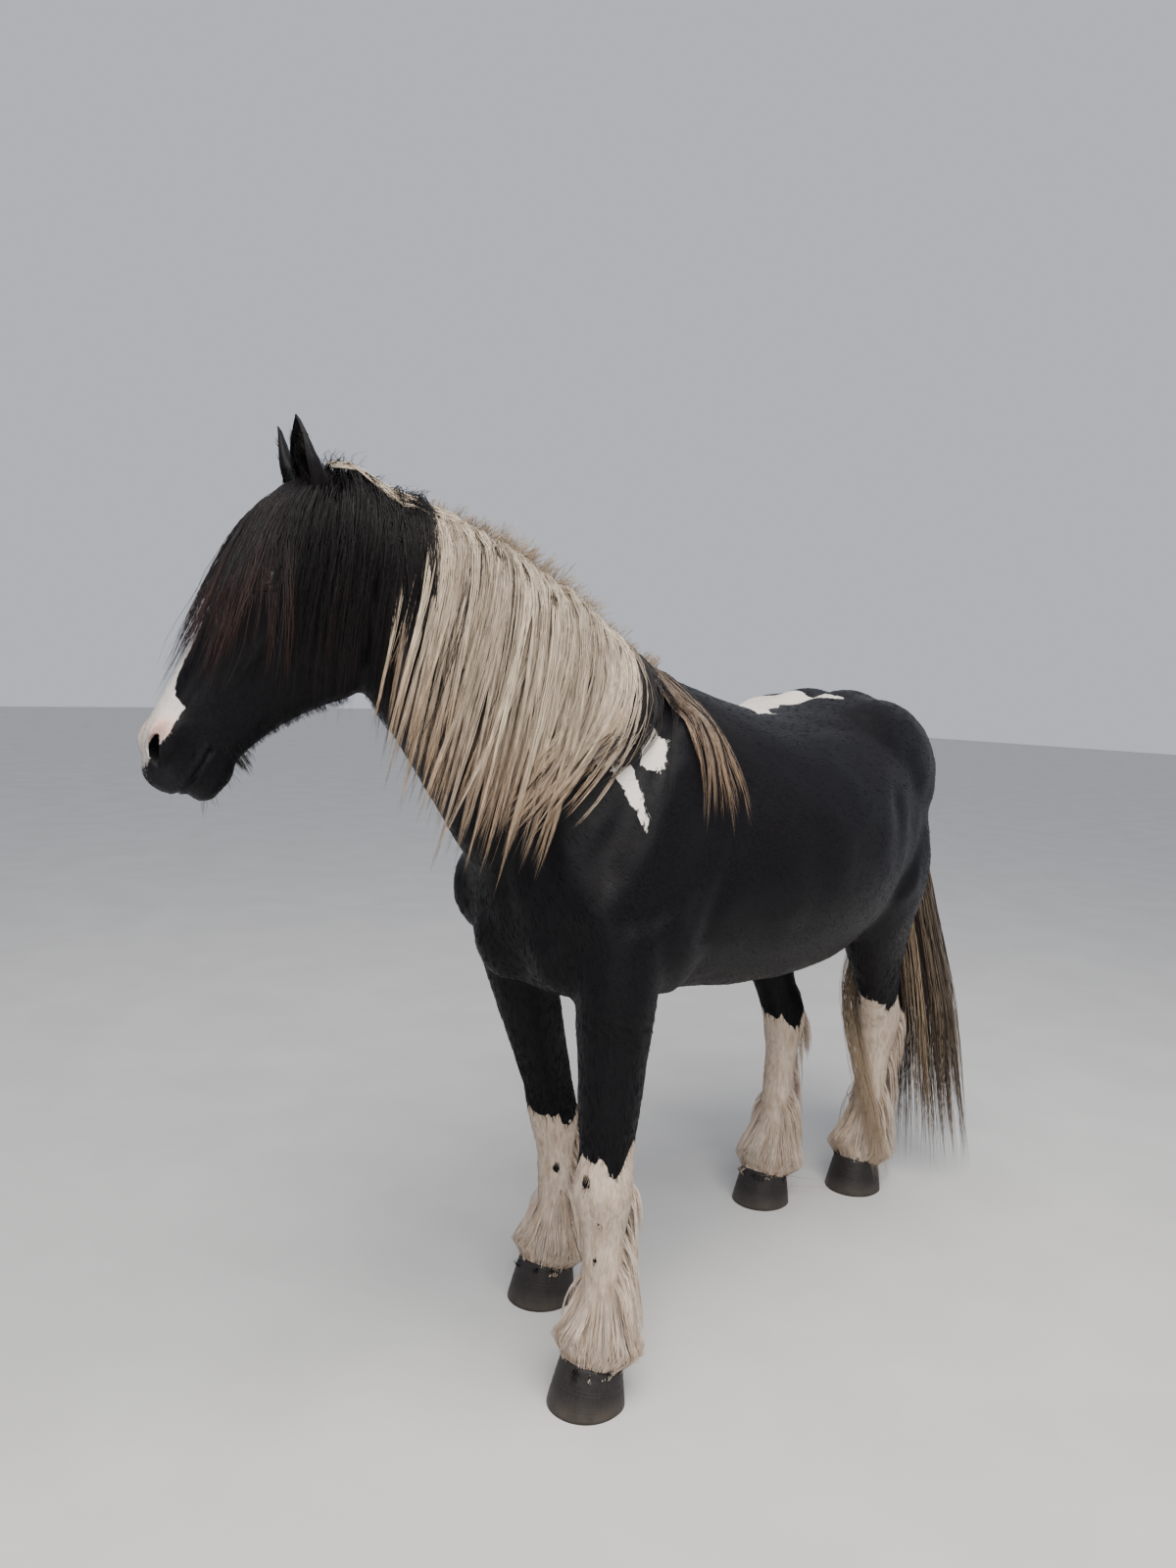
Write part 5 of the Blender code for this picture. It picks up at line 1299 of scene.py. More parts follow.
def hair(name, groups, look, source):
    """One piece of hair from groups of (lines, root chart, lock number); each strand is a thin tapered spike."""
    width, nodes, slot = HAIR_PIECES[name]
    sides = STRAND_SIDES
    lines = np.concatenate([group[0] for group in groups])
    charts = np.concatenate([np.repeat(np.array(group[1])[None, :], len(group[0]), 0) for group in groups])
    lock = np.concatenate([np.full(len(group[0]), group[2]) for group in groups])
    count, stations = lines.shape[:2]
    t = np.linspace(0, 1, stations)
    profile = (0.45 + 0.55 * np.minimum(1, t * 6)) * np.maximum(0.0, 1 - t ** 2.2) ** 0.8
    size = (width * source.uniform(0.55, 1.35, count))[:, None] * profile[None, :] / 2
    along = unit(np.gradient(lines, axis=1))
    rest = unit(np.cross(along, np.array((0.31, 0.62, 0.72))))
    other = np.cross(along, rest)
    angle = 2 * np.pi * np.arange(sides) / sides
    rings = (lines[:, :-1, None, :]
             + (rest[:, :-1, None, :] * np.cos(angle)[:, None] + other[:, :-1, None, :] * np.sin(angle)[:, None])
             * size[:, :-1, None, None])
    points = np.concatenate([rings.reshape(count, -1, 3), lines[:, -1:, :]], 1)
    points[..., 2] = np.maximum(points[..., 2], TIP_FLOOR * 0.5)
    per = (stations - 1) * sides + 1
    block = np.concatenate([triangles(ring_faces(stations - 1, sides)),
                            cap((stations - 2) * sides, sides, per - 1)])
    faces = (block[None] + (np.arange(count) * per)[:, None, None]).reshape(-1, 3)
    reach = np.concatenate([np.repeat(t[:-1], sides), [1.0]])
    around = np.concatenate([np.tile(np.arange(sides) / sides, stations - 1), [0.5]])
    wobble = source.uniform(-0.002, 0.002, (count, 1, 2))
    patch = np.stack([around, reach], 1)[None] * PATCH
    chart = np.clip(charts[:, None, :] + wobble + patch, 0.001, 0.999)
    values = {"along": np.tile(reach, count), "lock": np.repeat(lock, per),
              "strand": np.repeat(source.random(count), per)}
    made = mesh_of(name, points.reshape(-1, 3), faces, values, chart.reshape(-1, 2))
    show(name, made, look, nodes)


CREST = smooth_between([(*centre, reach) for centre, reach in NECK], 4)


def crest(tree, share):
    """A place on the crest from the withers (0) to the poll (1), with the ways up and to the left."""
    row, i = part_way(CREST, share)
    along = unit(CREST[min(i + 2, len(CREST) - 1)][:3] - CREST[max(i - 1, 0)][:3])
    left = unit(np.cross(along, (0, 0, 1)))
    if left[1] > 0:
        left = -left
    up = unit(np.cross(left, along))
    if up[2] < 0:
        up = -up
    middle = at(*row[:3])
    hit, _, _, _ = tree.ray_cast(Vector(middle + up * 0.6), Vector(-up))
    top = np.array(hit) if hit is not None else middle + up * row[3]
    return top - up * ROOT_DEPTH, up, left


# Hair pieces

def on_skin(tree, point, sink=ROOT_DEPTH):
    """The nearest place of the skin, a little below it, and the way out."""
    hit, way, _, _ = tree.find_nearest(Vector(point))
    return np.array(hit) - np.array(way) * sink, np.array(way)


def anywhere(source):
    """A random place on a map."""
    return 0.05 + 0.9 * source.random(), 0.05 + 0.9 * source.random()


def drift(share, seed, scale=0.10):
    """A slow change along a row of hair, from -1 to 1, so that neighbours lie alike."""
    return float(ripple(np.array([(share, 0.3 * share, 0.1)]), scale * 1.2, seed)[0])


MANE_START = 0.452
MANE_END = 0.955
# Shares between which the mane parts low down
MANE_PARTING = (0.548, 0.580)
MANE_LENGTHS = [(0.35, 0.43), (0.45, 0.50), (0.58, 0.58), (0.75, 0.60), (0.95, 0.52)]
# Share of the crest, how far the hair swings forward as it falls, how much more at its tip
MANE_SWINGS = [(0.37, -0.34, -1.3), (0.46, -0.32, -1.0), (0.548, -0.20, -1.0), (0.58, -0.34, -0.2),
               (0.66, -0.38, 0.0), (0.80, -0.28, 0.0), (0.95, -0.20, 0.0)]
MANE_STRANDS = 17
# The number of a lock that is dark from root to tip
DARK_LOCK = 2.0


def mane(tree, look):
    """The fair mane: many narrow locks that fall to the left from both sides of the crest."""
    source = np.random.default_rng(11)
    groups = []
    for i in range(int(MANE_CLUMPS * FEWER)):
        share = MANE_START + (MANE_END - MANE_START) * (i + source.random()) / (MANE_CLUMPS * FEWER)
        if MANE_PARTING[0] < share < MANE_PARTING[1] and source.random() < 0.85:
            continue
        offset = source.uniform(-0.030, 0.010 + 0.026 * float(ramp(np.array(share - 0.45), 0, 0.10)))
        layer = i % 3
        top, up, left = crest(tree, share)
        start, _ = on_skin(tree, top + left * offset)
        ahead = unit(crest(tree, min(share + 0.03, 1))[0] - top)
        sway = ahead * (0.06 + 0.26 * drift(share, 40 + layer) + source.normal(0, 0.06))
        length = read_off(MANE_LENGTHS, share) * (1.0 + 0.08 * drift(share, 50 + layer, 0.05))
        length *= 1.10 - 0.36 * source.random() ** 1.4
        pull = (read_off(MANE_SWINGS, share) + source.normal(0, 0.05), 0, -1)
        first = left * (0.8 - 8 * min(offset, 0)) + up * (0.15 + 0.45 * layer + source.uniform(0, 0.3)) + sway * 0.3
        path, ways = fall(tree, start, first, length, 0.004 + 0.008 * layer + source.uniform(0, 0.004), sway, pull,
                          later=read_off(MANE_SWINGS, share, 2))
        loose = source.random() < 0.15
        count = int(MANE_STRANDS * source.uniform(0.7, 1.3)) if not loose else 4
        spread_at = (0.012, 0.014, 0.016) if loose else (0.012, 0.0066, 0.0010)
        lines = strands_along(path, ways, count, source, spread_at, 0.005 if loose else 0.0018, 13, 0.24)
        tint = source.random() ** 1.2
        # Some locks of the lowest layer are dark from root to tip: partly the mane's own dark underlayer, partly
        # painted shade in the gaps between the locks
        if layer == 0 and source.random() < 0.35:
            tint = DARK_LOCK
        chart = (0.02 + 0.94 * (share - MANE_START) / (MANE_END - MANE_START),
                 0.05 + 0.88 * (offset + 0.030) / 0.066)
        groups.append((freed(tree, lines), chart, tint, share))
    for i in range(int(MANE_WISPS * FEWER) + 1):
        lines = strands_along(fair_wisp(tree, source), (0, 0, 1.0), 4, source,
                              (0.003, 0.006, 0.004), 0.003, 13, 0.2)
        groups.append((freed(tree, lines), (0.3 + 0.04 * i, 0.97), 0.2 * source.random(), 1.0))
    groups.sort(key=lambda group: group[3])
    half = len(groups) // 2
    hair("mane_rear", groups[:half], look, source)
    hair("mane_front", groups[half:], look, source)


def fair_wisp(tree, source):
    """A fair strand that runs back from behind the left ear over the black hair and then falls with the mane."""
    top, _, left = crest(tree, source.uniform(0.91, 0.95))
    behind, _, _ = crest(tree, 0.99)
    aside = source.uniform(-0.024, 0.020)
    guides = [on_head(-0.035, 0.07, 0.045 + aside), on_head(-0.075, 0.04, 0.050 + aside),
              behind + left * (0.052 + aside), top + left * (0.050 + aside)]
    lifted = []
    for guide in guides:
        place, out = on_skin(tree, guide, 0.0)
        lifted.append(place + out * (0.024 + 0.3 * abs(aside)))
    first = smooth_between(lifted, 4)
    length = 0.42 * source.uniform(0.7, 1.1)
    rest, _ = fall(tree, first[-1], first[-1] - first[-2], length, 0.024, pull=(-0.22, 0, -1))
    return np.vstack([first, rest[1:]])


# Near the withers: share of the crest, clumps, pull along X, length, tint, start backwards, more pull at the tip
REAR_LOCKS = [
    (0.348, 26, 0.02, 0.45, 0.45, 0.30, 0.0),
    (0.424, 28, -0.06, 0.44, DARK_LOCK, 0.0, -1.9),
]


def rear_locks(tree, look):
    """The last locks of the mane, by the withers: a fair one falls back and a black one swings forward."""
    source = np.random.default_rng(19)
    groups = []
    for share, clumps, pull, length, tint, back, later in REAR_LOCKS:
        for _ in range(int(clumps * FEWER) + 2):
            here = share + source.normal(0, 0.009)
            top, up, left = crest(tree, here)
            start, _ = on_skin(tree, top + left * source.uniform(-0.010, 0.030))
            ahead = unit(crest(tree, here + 0.03)[0] - top)
            sway = ahead * source.normal(0.0, 0.10) + np.array((back * 0.3, 0, 0))
            first = left * 0.9 + up * source.uniform(0.3, 0.9) - ahead * 0.3 * back
            fan = source.normal(0, 0.11)
            path, ways = fall(tree, start, first, length * source.uniform(0.72, 1.06),
                              0.006 + 0.016 * source.random(), sway, (pull + fan, 0, -1), later=later)
            lines = strands_along(path, ways, 9, source, (0.010, 0.006, 0.0016), 0.003, 13, 0.25)
            shade = tint if tint > 1 or source.random() > 0.25 else DARK_LOCK
            chart = anywhere(source)
            groups.append((freed(tree, lines), chart, shade if shade > 1 else tint + 0.25 * source.random()))
    hair("mane_withers", groups, look, source)


def crest_fuzz(tree, look):
    """Short hair that stands up along the crest, over the roots of the mane."""
    source = np.random.default_rng(12)
    groups = []
    for _ in range(int(CREST_CLUMPS * FEWER)):
        share = 0.26 + 0.67 * source.random()
        if source.random() > 0.45 + 0.55 * math.exp(-((share - 0.64) / 0.16) ** 2):
            continue
        offset = source.normal(0, 0.014)
        top, up, left = crest(tree, share)
        start, _ = on_skin(tree, top + left * offset)
        tall = 0.040 + 0.034 * math.exp(-((share - 0.62) / 0.17) ** 2)
        ahead = unit(crest(tree, min(share + 0.03, 1))[0] - top)
        first = up + left * source.normal(0.10, 0.35) + ahead * source.normal(0.0, 0.40)
        path, ways = fall(tree, start, first, tall * source.uniform(0.6, 1.35), 0.001, ahead * 0.3,
                          left * 0.6 + np.array((0, 0, -0.3)), 0.90)
        lines = strands_along(path, ways, int(6 * source.uniform(0.6, 1.4)), source,
                              (0.008, 0.010, 0.008), 0.003, 6)
        chart = (0.02 + 0.94 * (share - 0.26) / 0.67, 0.10 + 0.8 * np.clip((offset + 0.04) / 0.08, 0, 1))
        groups.append((lines, chart, source.random() ** 1.5))
    hair("crest_hair", groups, look, source)


def poll_row(tree, share):
    """A place on the row where the black hair grows: from the crest (0) over the poll to between the ears (1)."""
    rows = smooth_between([crest(tree, 0.948)[0], crest(tree, 0.990)[0], on_head(-0.065, 0.035, 0.0),
                           on_head(-0.020, 0.070, 0.0)], 4)
    return part_way(rows, share)[0]


def poll_mane(tree, look):
    """The black mane behind the ears, over the cheek and the jowl."""
    source = np.random.default_rng(13)
    u, _, w = AXES
    groups = []
    count = int(POLL_CLUMPS * FEWER)
    for i in range(count):
        share = (i + source.random()) / count
        offset = source.uniform(-0.032, 0.042)
        start, out = on_skin(tree, poll_row(tree, share) + w * offset)
        layer = i % 3
        sway = np.array((-0.94, 0.34, 0)) * source.uniform(-0.1, 0.30 + 0.35 * share)
        length = 0.52 * (1.04 - 0.45 * source.random() ** 1.2)
        first = w * (0.8 - 8 * min(offset, 0)) + out * (0.25 + 0.50 * (1 - share) + 0.55 * layer * source.random())
        pull = np.array((0, 0, -1.0)) + u * 0.25 * share * source.random()
        path, ways = fall(tree, start, first, length, 0.004 + 0.009 * layer + 0.004 * source.random(), sway, pull)
        loose = source.random() < 0.12
        lines = strands_along(path, ways, 4 if loose else int(11 * source.uniform(0.7, 1.3)), source,
                              (0.011, 0.016, 0.018) if loose else (0.012, 0.009, 0.003),
                              0.006 if loose else 0.0025, 12)
        chart = (0.04 + 0.90 * share, 0.05 + 0.88 * (offset + 0.032) / 0.074)
        groups.append((freed(tree, lines), chart, source.random()))
    for _ in range(int(POLL_FUZZ * FEWER)):
        share = source.random()
        start, out = on_skin(tree, poll_row(tree, share) + w * source.normal(0, 0.016))
        first = np.array((0, 0, 1.0)) + source.normal(0, 0.35, 3)
        length = source.uniform(0.03, 0.08)
        path, ways = fall(tree, start, first, length, 0.001, w * 0.3, w * 0.6 + (0, 0, -0.6), 0.8)
        lines = strands_along(path, ways, 4, source, (0.008, 0.012, 0.012), 0.005, 12)
        groups.append((lines, (0.04 + 0.90 * share, 0.95), source.random()))
    hair("mane_behind_ears", groups, look, source)


def forelock(tree, look):
    """The forelock, from between the ears over the forehead and the left eye, with a few loose hairs."""
    source = np.random.default_rng(14)
    u, v, w = AXES
    groups = []
    face = unit(u * 0.9 - v * 0.15)
    for _ in range(int(FORELOCK_CLUMPS * FEWER)):
        spread = source.uniform(-1, 1)
        near = source.random() < 0.55
        if near:
            spread = source.uniform(0.0, 1.35)
        start, _ = on_skin(tree, on_head(0.010 + 0.028 * source.uniform(-1, 1), 0.080, 0.036 * spread))
        first = u * 0.55 + v * source.uniform(0.4, 1.1) + w * 0.30 * spread
        sway = w * (0.75 * spread + 0.25 + source.normal(0, 0.10))
        length = 0.45 * (1.04 - 0.50 * source.random() ** 1.2)
        gravity = source.uniform(0.05, 0.95) if near else 0.10 * source.random()
        pull = face * (1 - gravity) + np.array((0, 0, -1.0)) * gravity
        if near:
            sway = w * (0.45 + 0.50 * spread + source.normal(0, 0.18))
        path, ways = fall(tree, start, first, length, 0.004 + 0.022 * source.random(), sway, pull)
        loose = source.random() < 0.14
        lines = strands_along(path, ways, 4 if loose else int(10 * source.uniform(0.7, 1.3)), source,
                              (0.009, 0.022, 0.022) if loose else (0.010, 0.009, 0.0030),
                              0.008 if loose else 0.003, 12)
        chart = (0.05 + 0.88 * (min(spread, 1) + 1) / 2, 0.05 + 0.88 * source.random())
        groups.append((freed(tree, lines), chart, source.random()))
    hair("forelock_hair", groups, look, source)


def beard(tree, look):
    """Wisps behind the chin, and the fuzz under the jaw as far as the throat."""
    source = np.random.default_rng(15)
    u, v, w = AXES
    groups = []
    for _ in range(int(JAW_CLUMPS * FEWER)):
        along = 0.08 + 0.42 * source.random()
        side = source.normal(0, 0.34)
        low = on_head(along, -0.30, side * 0.06)
        hit, _, _, _ = tree.ray_cast(Vector(low), Vector(v))
        if hit is None:
            continue
        start = np.array(hit) + v * 0.002
        tall = 0.006 + 0.008 * math.exp(-((along - 0.30) / 0.14) ** 2)
        tall += 0.034 * math.exp(-((along - 0.485) / 0.014) ** 2)
        first = -v * 0.8 + u * source.normal(0.55, 0.30) + w * (side * 0.5 + source.normal(0, 0.25))
        path, ways = fall(tree, start, first, tall * source.uniform(0.6, 1.4), 0.001, w * source.normal(0, 0.2),
                          -u * 0.15 - v * 0.5 - np.array((0, 0, 0.6)), 0.7)
        lines = strands_along(path, ways, 3, source, (0.006, 0.007, 0.005), 0.0015, 5)
        chart = (0.03 + 0.92 * (along - 0.07) / 0.44, float(np.clip(0.5 + side * 0.4, 0.05, 0.95)))
        groups.append((lines, chart, source.random()))
    hair("jaw_hair", groups, look, source)


def small_hair(tree, look):
    """Hair inside the ears, lashes and a few whiskers."""
    source = np.random.default_rng(16)
    groups = []
    t = np.linspace(0, 1, 7)[:, None]
    for side in (1, -1):
        base, up, facing, _ = ear_frame(side)
        for _ in range(int(EAR_CLUMPS * FEWER)):
            share = source.uniform(0.03, 0.80)
            turn = source.uniform(-0.97, 0.97)
            start = ear_surface(side, share, turn, 0.004)
            middle = base + up * (EAR_LENGTH * (share + 0.10)) + facing * 0.020
            way = unit(middle - start + up * 0.012)
            length = source.uniform(0.016, 0.034) * (1.15 - share)
            path = start + way * t * length + up * (t ** 2) * 0.008
            lines = strands_along(path, facing, 4, source, (0.002, 0.004, 0.003), 0.0015, 6)
            groups.append((lines, (0.02 + 0.45 * (side > 0) + 0.42 * share, 0.05 + 0.42 * (turn + 1) / 2), 0.75))
        centre, along, over, look_out = eye_axes(side)
        for i in range(int(LASHES * FEWER)):
            angle = source.uniform(0.10, 0.92) * math.pi
            a, b = lid_outline(np.array(angle), 1.04)
            ball = math.sqrt(max(1e-6, EYE_RADIUS ** 2 - a * a - b * b))
            start = centre + along * a + over * b + look_out * (ball + 0.001)
            way = unit(look_out + over * 0.35 + along * (a * 14 + source.normal(0, 0.12)))
            bend = np.linspace(0, 1, 6)[:, None]
            path = start + way * bend * source.uniform(0.008, 0.014) - over * bend ** 2 * 0.003
            lines = strands_along(path, over, 1, source, (0, 0, 0), 0.0002, 6)
            groups.append((lines, (0.05 + 0.4 * (side > 0) + 0.3 * i / LASHES, 0.60), 0.0))
    for _ in range(int(WHISKERS * FEWER)):
        u = source.uniform(0.50, 0.60)
        side = source.choice((-1, 1))
        low = source.random() < 0.6
        start = on_head(u, -0.02 if not low else -0.09, 0.12 * side)
        hit, way, _, _ = tree.ray_cast(Vector(start), Vector(-AXES[2] * side))
        if hit is None:
            continue
        way = unit(np.array(way) + AXES[0] * 0.4 - AXES[1] * 0.3 + source.normal(0, 0.15, 3))
        path = np.array(hit) + way * t * source.uniform(0.012, 0.045) - np.array((0, 0, 1)) * t ** 2 * 0.006
        lines = strands_along(path, AXES[1], 1, source, (0, 0, 0), 0.0006, 6)
        groups.append((lines, (0.05 + 0.9 * (u - 0.5) / 0.1, 0.72 + 0.2 * low), 0.2))
    hair("fine_head_hair", groups, look, source)


TAIL_ROWS = smooth_between(TAIL_LINE, 4)


def tail_at(height):
    """The middle of the tail at a height, with its half width and half depth there."""
    rows = TAIL_ROWS[::-1]
    return np.stack([np.interp(height, rows[:, 2], rows[:, k]) for k in (0, 1, 3, 4)], -1)


def tail(look):
    """The tail's hair, from all round the dock down almost to the ground."""
    source = np.random.default_rng(17)
    groups = []
    for _ in range(int(TAIL_CLUMPS * FEWER)):
        angle = 2 * np.pi * source.random()
        out = np.array((math.sin(angle), math.cos(angle), 0))
        top = 1.262 - 0.22 * source.random() ** 1.5
        end = 0.022 + 0.24 * source.random() ** 3
        radius = 0.35 + 0.65 * math.sqrt(source.random())
        t = np.linspace(0, 1, 25)
        height = top + (end - top) * t
        x, y, half, deep = tail_at(height).T
        fan = radius * (0.78 + 0.40 * np.minimum(1, t * 5) + 0.90 * t ** 1.5)
        slip = 0.010 * np.sin(t * 5 + source.uniform(0, 6.28)) * t
        path = np.stack([x + out[0] * deep * fan, y + out[1] * half * fan + slip, height], 1) + SHIFT
        lines = strands_along(path, out, 9, source, (0.012, 0.010, 0.004), 0.005, 15, 0.30)
        edge = out[0] > 0.45 and radius > 0.7
        tint = 0.7 + 0.3 * source.random() if edge else source.random() ** 2.2
        if not edge and source.random() < 0.30:
            tint = DARK_LOCK
        lines[..., 2] = np.maximum(lines[..., 2], TIP_FLOOR)
        groups.append((lines, (0.02 + 0.93 * angle / (2 * np.pi), 0.03 + 0.92 * (1.262 - top) / 0.22), tint))
    hair("tail_hair", groups, look, source)


def inner_strand(look):
    """The thin part of the tail that comes through between the hind legs."""
    source = np.random.default_rng(18)
    path = smooth_between(INNER_STRAND, 4) + SHIFT
    out = unit(np.array((-0.7, -0.7, 0)))
    groups = []
    for _ in range(int(INNER_CLUMPS * FEWER) + 2):
        aside = np.array((0.020, -0.012, -0.008)) * source.uniform(-0.4, 1.6)
        share = np.minimum(1, np.arange(len(path)) / 8)[:, None]
        wide = source.normal(0, 0.006, 3) * share
        lines = strands_along(path + aside * share + wide, out, 8, source, (0.008, 0.008, 0.003), 0.005, 15, 0.25)
        groups.append((lines, anywhere(source), 0.62 + 0.38 * source.random()))
    hair("tail_inner_hair", groups, look, source)


# Share from the knee (0) by the fetlock (1) to the coronet (2): how thick the hair grows, and its length
FEATHER_DENSITY = [(-0.05, 0.9), (0.15, 1.0), (0.55, 1.1), (0.80, 1.6), (1.20, 2.4), (1.55, 2.2), (1.93, 1.2)]
FEATHER_LENGTHS = [(-0.05, 0.120), (0.20, 0.150), (0.55, 0.160), (0.90, 0.165), (1.20, 0.145), (1.60, 0.105),
                   (1.95, 0.082)]


def feather(leg, tree, look, seed):
    """The long hair of one foot, from behind the knee or hock down over the hoof."""
    source = np.random.default_rng(seed)
    knee, fetlock, crown = [np.array(joint) for joint in LEGS[leg]]
    hind = leg.startswith("hind")
    groups = []
    thick = np.cumsum([d for _, d in FEATHER_DENSITY])
    shares = np.interp(source.random(int(FEATHER_CLUMPS * FEWER)), (thick - thick[0]) / (thick[-1] - thick[0]),
                       [s for s, _ in FEATHER_DENSITY])
    for share in shares:
        place = knee + (fetlock - knee) * share if share < 1 else fetlock + (crown - fetlock) * (share - 1)
        span = np.interp(share, (0.0, 0.4, 0.66, 0.82), (0.24, 0.34, 0.50, 1.0)) * math.pi
        angle = source.uniform(-span, span)
        out = np.array((math.cos(angle), math.sin(angle), 0))
        hit, _, _, _ = tree.ray_cast(Vector(at(*place) + out * 0.3), Vector(-out))
        if hit is None or np.linalg.norm(np.array(hit) - at(*place)) > 0.10:
            continue
        start = np.array(hit) - out * 0.002
        bulk = source.random() ** 0.7
        if share > 0.74:
            rear = max(0.0, out[0])
            around = out * (0.095 + (0.047 + 0.010 * rear) * bulk)
            around += np.array((0.004 - 0.010 * max(0.0, -out[0]), 0, 0))
            tip = at(*crown) + around * source.uniform(0.95, 1.05)
            tip[2] = 0.106 - (0.048 + 0.024 * abs(out[1])) * bulk + source.normal(0, 0.006) - 0.036 * rear
            drop = start[2] - tip[2]
            if drop < 0.012:
                continue
            bend = start + out * 0.006 * bulk - np.array((0, 0, drop * 0.58)) + (tip - start) * (0.34, 0.34, 0)
            t = np.linspace(0, 1, 13)[:, None]
            path = start * (1 - t) ** 2 + bend * 2 * t * (1 - t) + tip * t ** 2
        else:
            first = out * (0.30 + 0.80 * bulk) + np.array((0, 0, -0.95))
            spread = out * np.interp(share, (0.3, 0.9), (0.24, 0.50)) * (0.35 + 0.9 * bulk)
            length = read_off(FEATHER_LENGTHS, share) * source.uniform(0.75, 1.12)
            clearance = 0.003 + np.interp(share, (0.3, 1.0, 1.5), (0.010, 0.020, 0.022)) * bulk
            path, _ = fall(tree, start, first, length, clearance, spread + np.array((0.14, 0, 0)), (0, 0, -1), 0.30)
        lines = strands_along(path, out, int(8 * source.uniform(0.7, 1.35)), source,
                              (0.010, 0.011, 0.006), 0.0020, 7, 0.22)
        tint = source.random() ** (1.0 if hind else 1.6)
        if share > 1.62 and out[0] < 0.3 and source.random() < 0.5:
            tint = DARK_LOCK
        chart = (0.03 + 0.93 * (angle / math.pi + 1) / 2, 0.03 + 0.93 * (share + 0.05) / 2.0)
        groups.append((freed(tree, lines, 0.0010 if share < 0.74 else 0.0050), chart, tint))
    hair(f"{leg}_feather_hair", groups, look, source)


# Hooves and eyes

def hoof(leg, look):
    """One hoof: a smooth wall with growth rings, its top cut along the slope of the coronet."""
    crown = np.array(LEGS[leg][2])
    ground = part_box(f"{leg}_hoof")[0][2]
    sides = 56
    angle = 2 * np.pi * np.arange(sides) / sides
    c, s = np.cos(angle), np.sin(angle)
    rings = []
    rows = 15
    for k in range(rows):
        share = k / (rows - 1)
        half, toe, heel = [read_off(HOOF_SHAPE, share, column) for column in (1, 2, 3)]
        groove = 0.0007 * math.sin(share * 34) * (0.1 < share < 0.95)
        middle = crown[0] + 0.45 * (HOOF_SHAPE[-1][2] - toe)
        x = middle - np.where(c > 0, toe, heel) * np.abs(c) ** 0.9 * np.sign(c) * (1 - groove * 10)
        y = crown[1] + s * (half + groove)
        top = crown[2] - CORONET_SLOPE * (x - crown[0]) - 0.0006
        rings.append(np.stack([x, y, np.maximum(top, 0.01) * share], 1))
    top = rings[-1]
    rings.append(np.stack([crown[0] + (top[:, 0] - crown[0]) * 0.5, crown[1] + (top[:, 1] - crown[1]) * 0.5,
                           top[:, 2] - 0.002], 1))
    points = np.concatenate(rings) + SHIFT
    points[:, 2] = np.clip(points[:, 2], ground, None)
    count = len(points)
    points = np.vstack([points, at(crown[0], crown[1], 0)[None], at(crown[0], crown[1], crown[2] * 0.9)[None]])
    tris = np.concatenate([triangles(ring_faces(len(rings), sides)), cap(0, sides, count, True),
                           cap((len(rings) - 1) * sides, sides, count + 1)])
    share = np.concatenate([np.repeat(np.arange(len(rings)) / (rows - 1), sides), [0, 1]])
    made = mesh_of(f"{leg}_hoof_wall", points, tris, {"share": share})
    show(f"{leg}_hoof_wall", made, look, (f"{leg}_hoof",))
    return made


BALL_RADIUS = EYE_RADIUS - 0.0004
CORNEA = 0.0011


def eyeball(side, look):
    """One eye: a ball with a raised cornea, dark, with a lying pupil."""
    centre, along, across, out = eye_axes(side)
    rows, turns = 28, 48
    points = []
    for i in range(1, rows):
        polar = math.pi * i / rows
        bulge = CORNEA * float(ramp(np.array(math.cos(polar)), 0.72, 0.95))
        for j in range(turns):
            turn = 2 * math.pi * j / turns
            way = out * math.cos(polar) + (along * math.cos(turn) + across * math.sin(turn)) * math.sin(polar)
            points.append(centre + way * (BALL_RADIUS + bulge))
    points.append(centre + out * (BALL_RADIUS + CORNEA))
    points.append(centre - out * BALL_RADIUS)
    points = np.array(points)
    count = len(points)
    tris = np.concatenate([triangles(ring_faces(rows - 1, turns)), cap(0, turns, count - 2, True),
                           cap((rows - 2) * turns, turns, count - 1)])
    if np.linalg.det(np.array([along, across, out])) > 0:
        tris = tris[:, ::-1]
    offset = points - centre
    values = {"a": offset @ along, "b": offset @ across, "front": offset @ out}
    name = "eye_left" if side > 0 else "eye_right"
    show(f"{name}_ball", mesh_of(f"{name}_ball", points, tris, values), look, (name,))


def eye_look():
    """Dark brown, wet, with a lying pupil and a paler ring far out."""
    look, tree, shader = new_look("eye", Roughness=0.06, Coat_Weight=1.0, Coat_Roughness=0.03,
                                  Specular_IOR_Level=0.6)
    a, b = attribute(tree, "a"), attribute(tree, "b")
    far = length_of(tree, a, b)
    lying = length_of(tree, a, times(tree, b, 2.1))
    rays = noise(tree, 420, (1, 1, 1), 3)
    iris = mixed(tree, rays, (0.018, 0.008, 0.004), (0.050, 0.022, 0.010))
    iris = mixed(tree, spread(tree, far, 0.0100, 0.0128), iris, (0.012, 0.007, 0.005))
    iris = mixed(tree, spread(tree, far, 0.0138, 0.0150), iris, (0.030, 0.020, 0.018))
    colour = mixed(tree, spread(tree, lying, 0.0078, 0.0086), (0.002, 0.002, 0.004), iris)
    feed(tree, shader.inputs["Base Color"], colour)
    return look


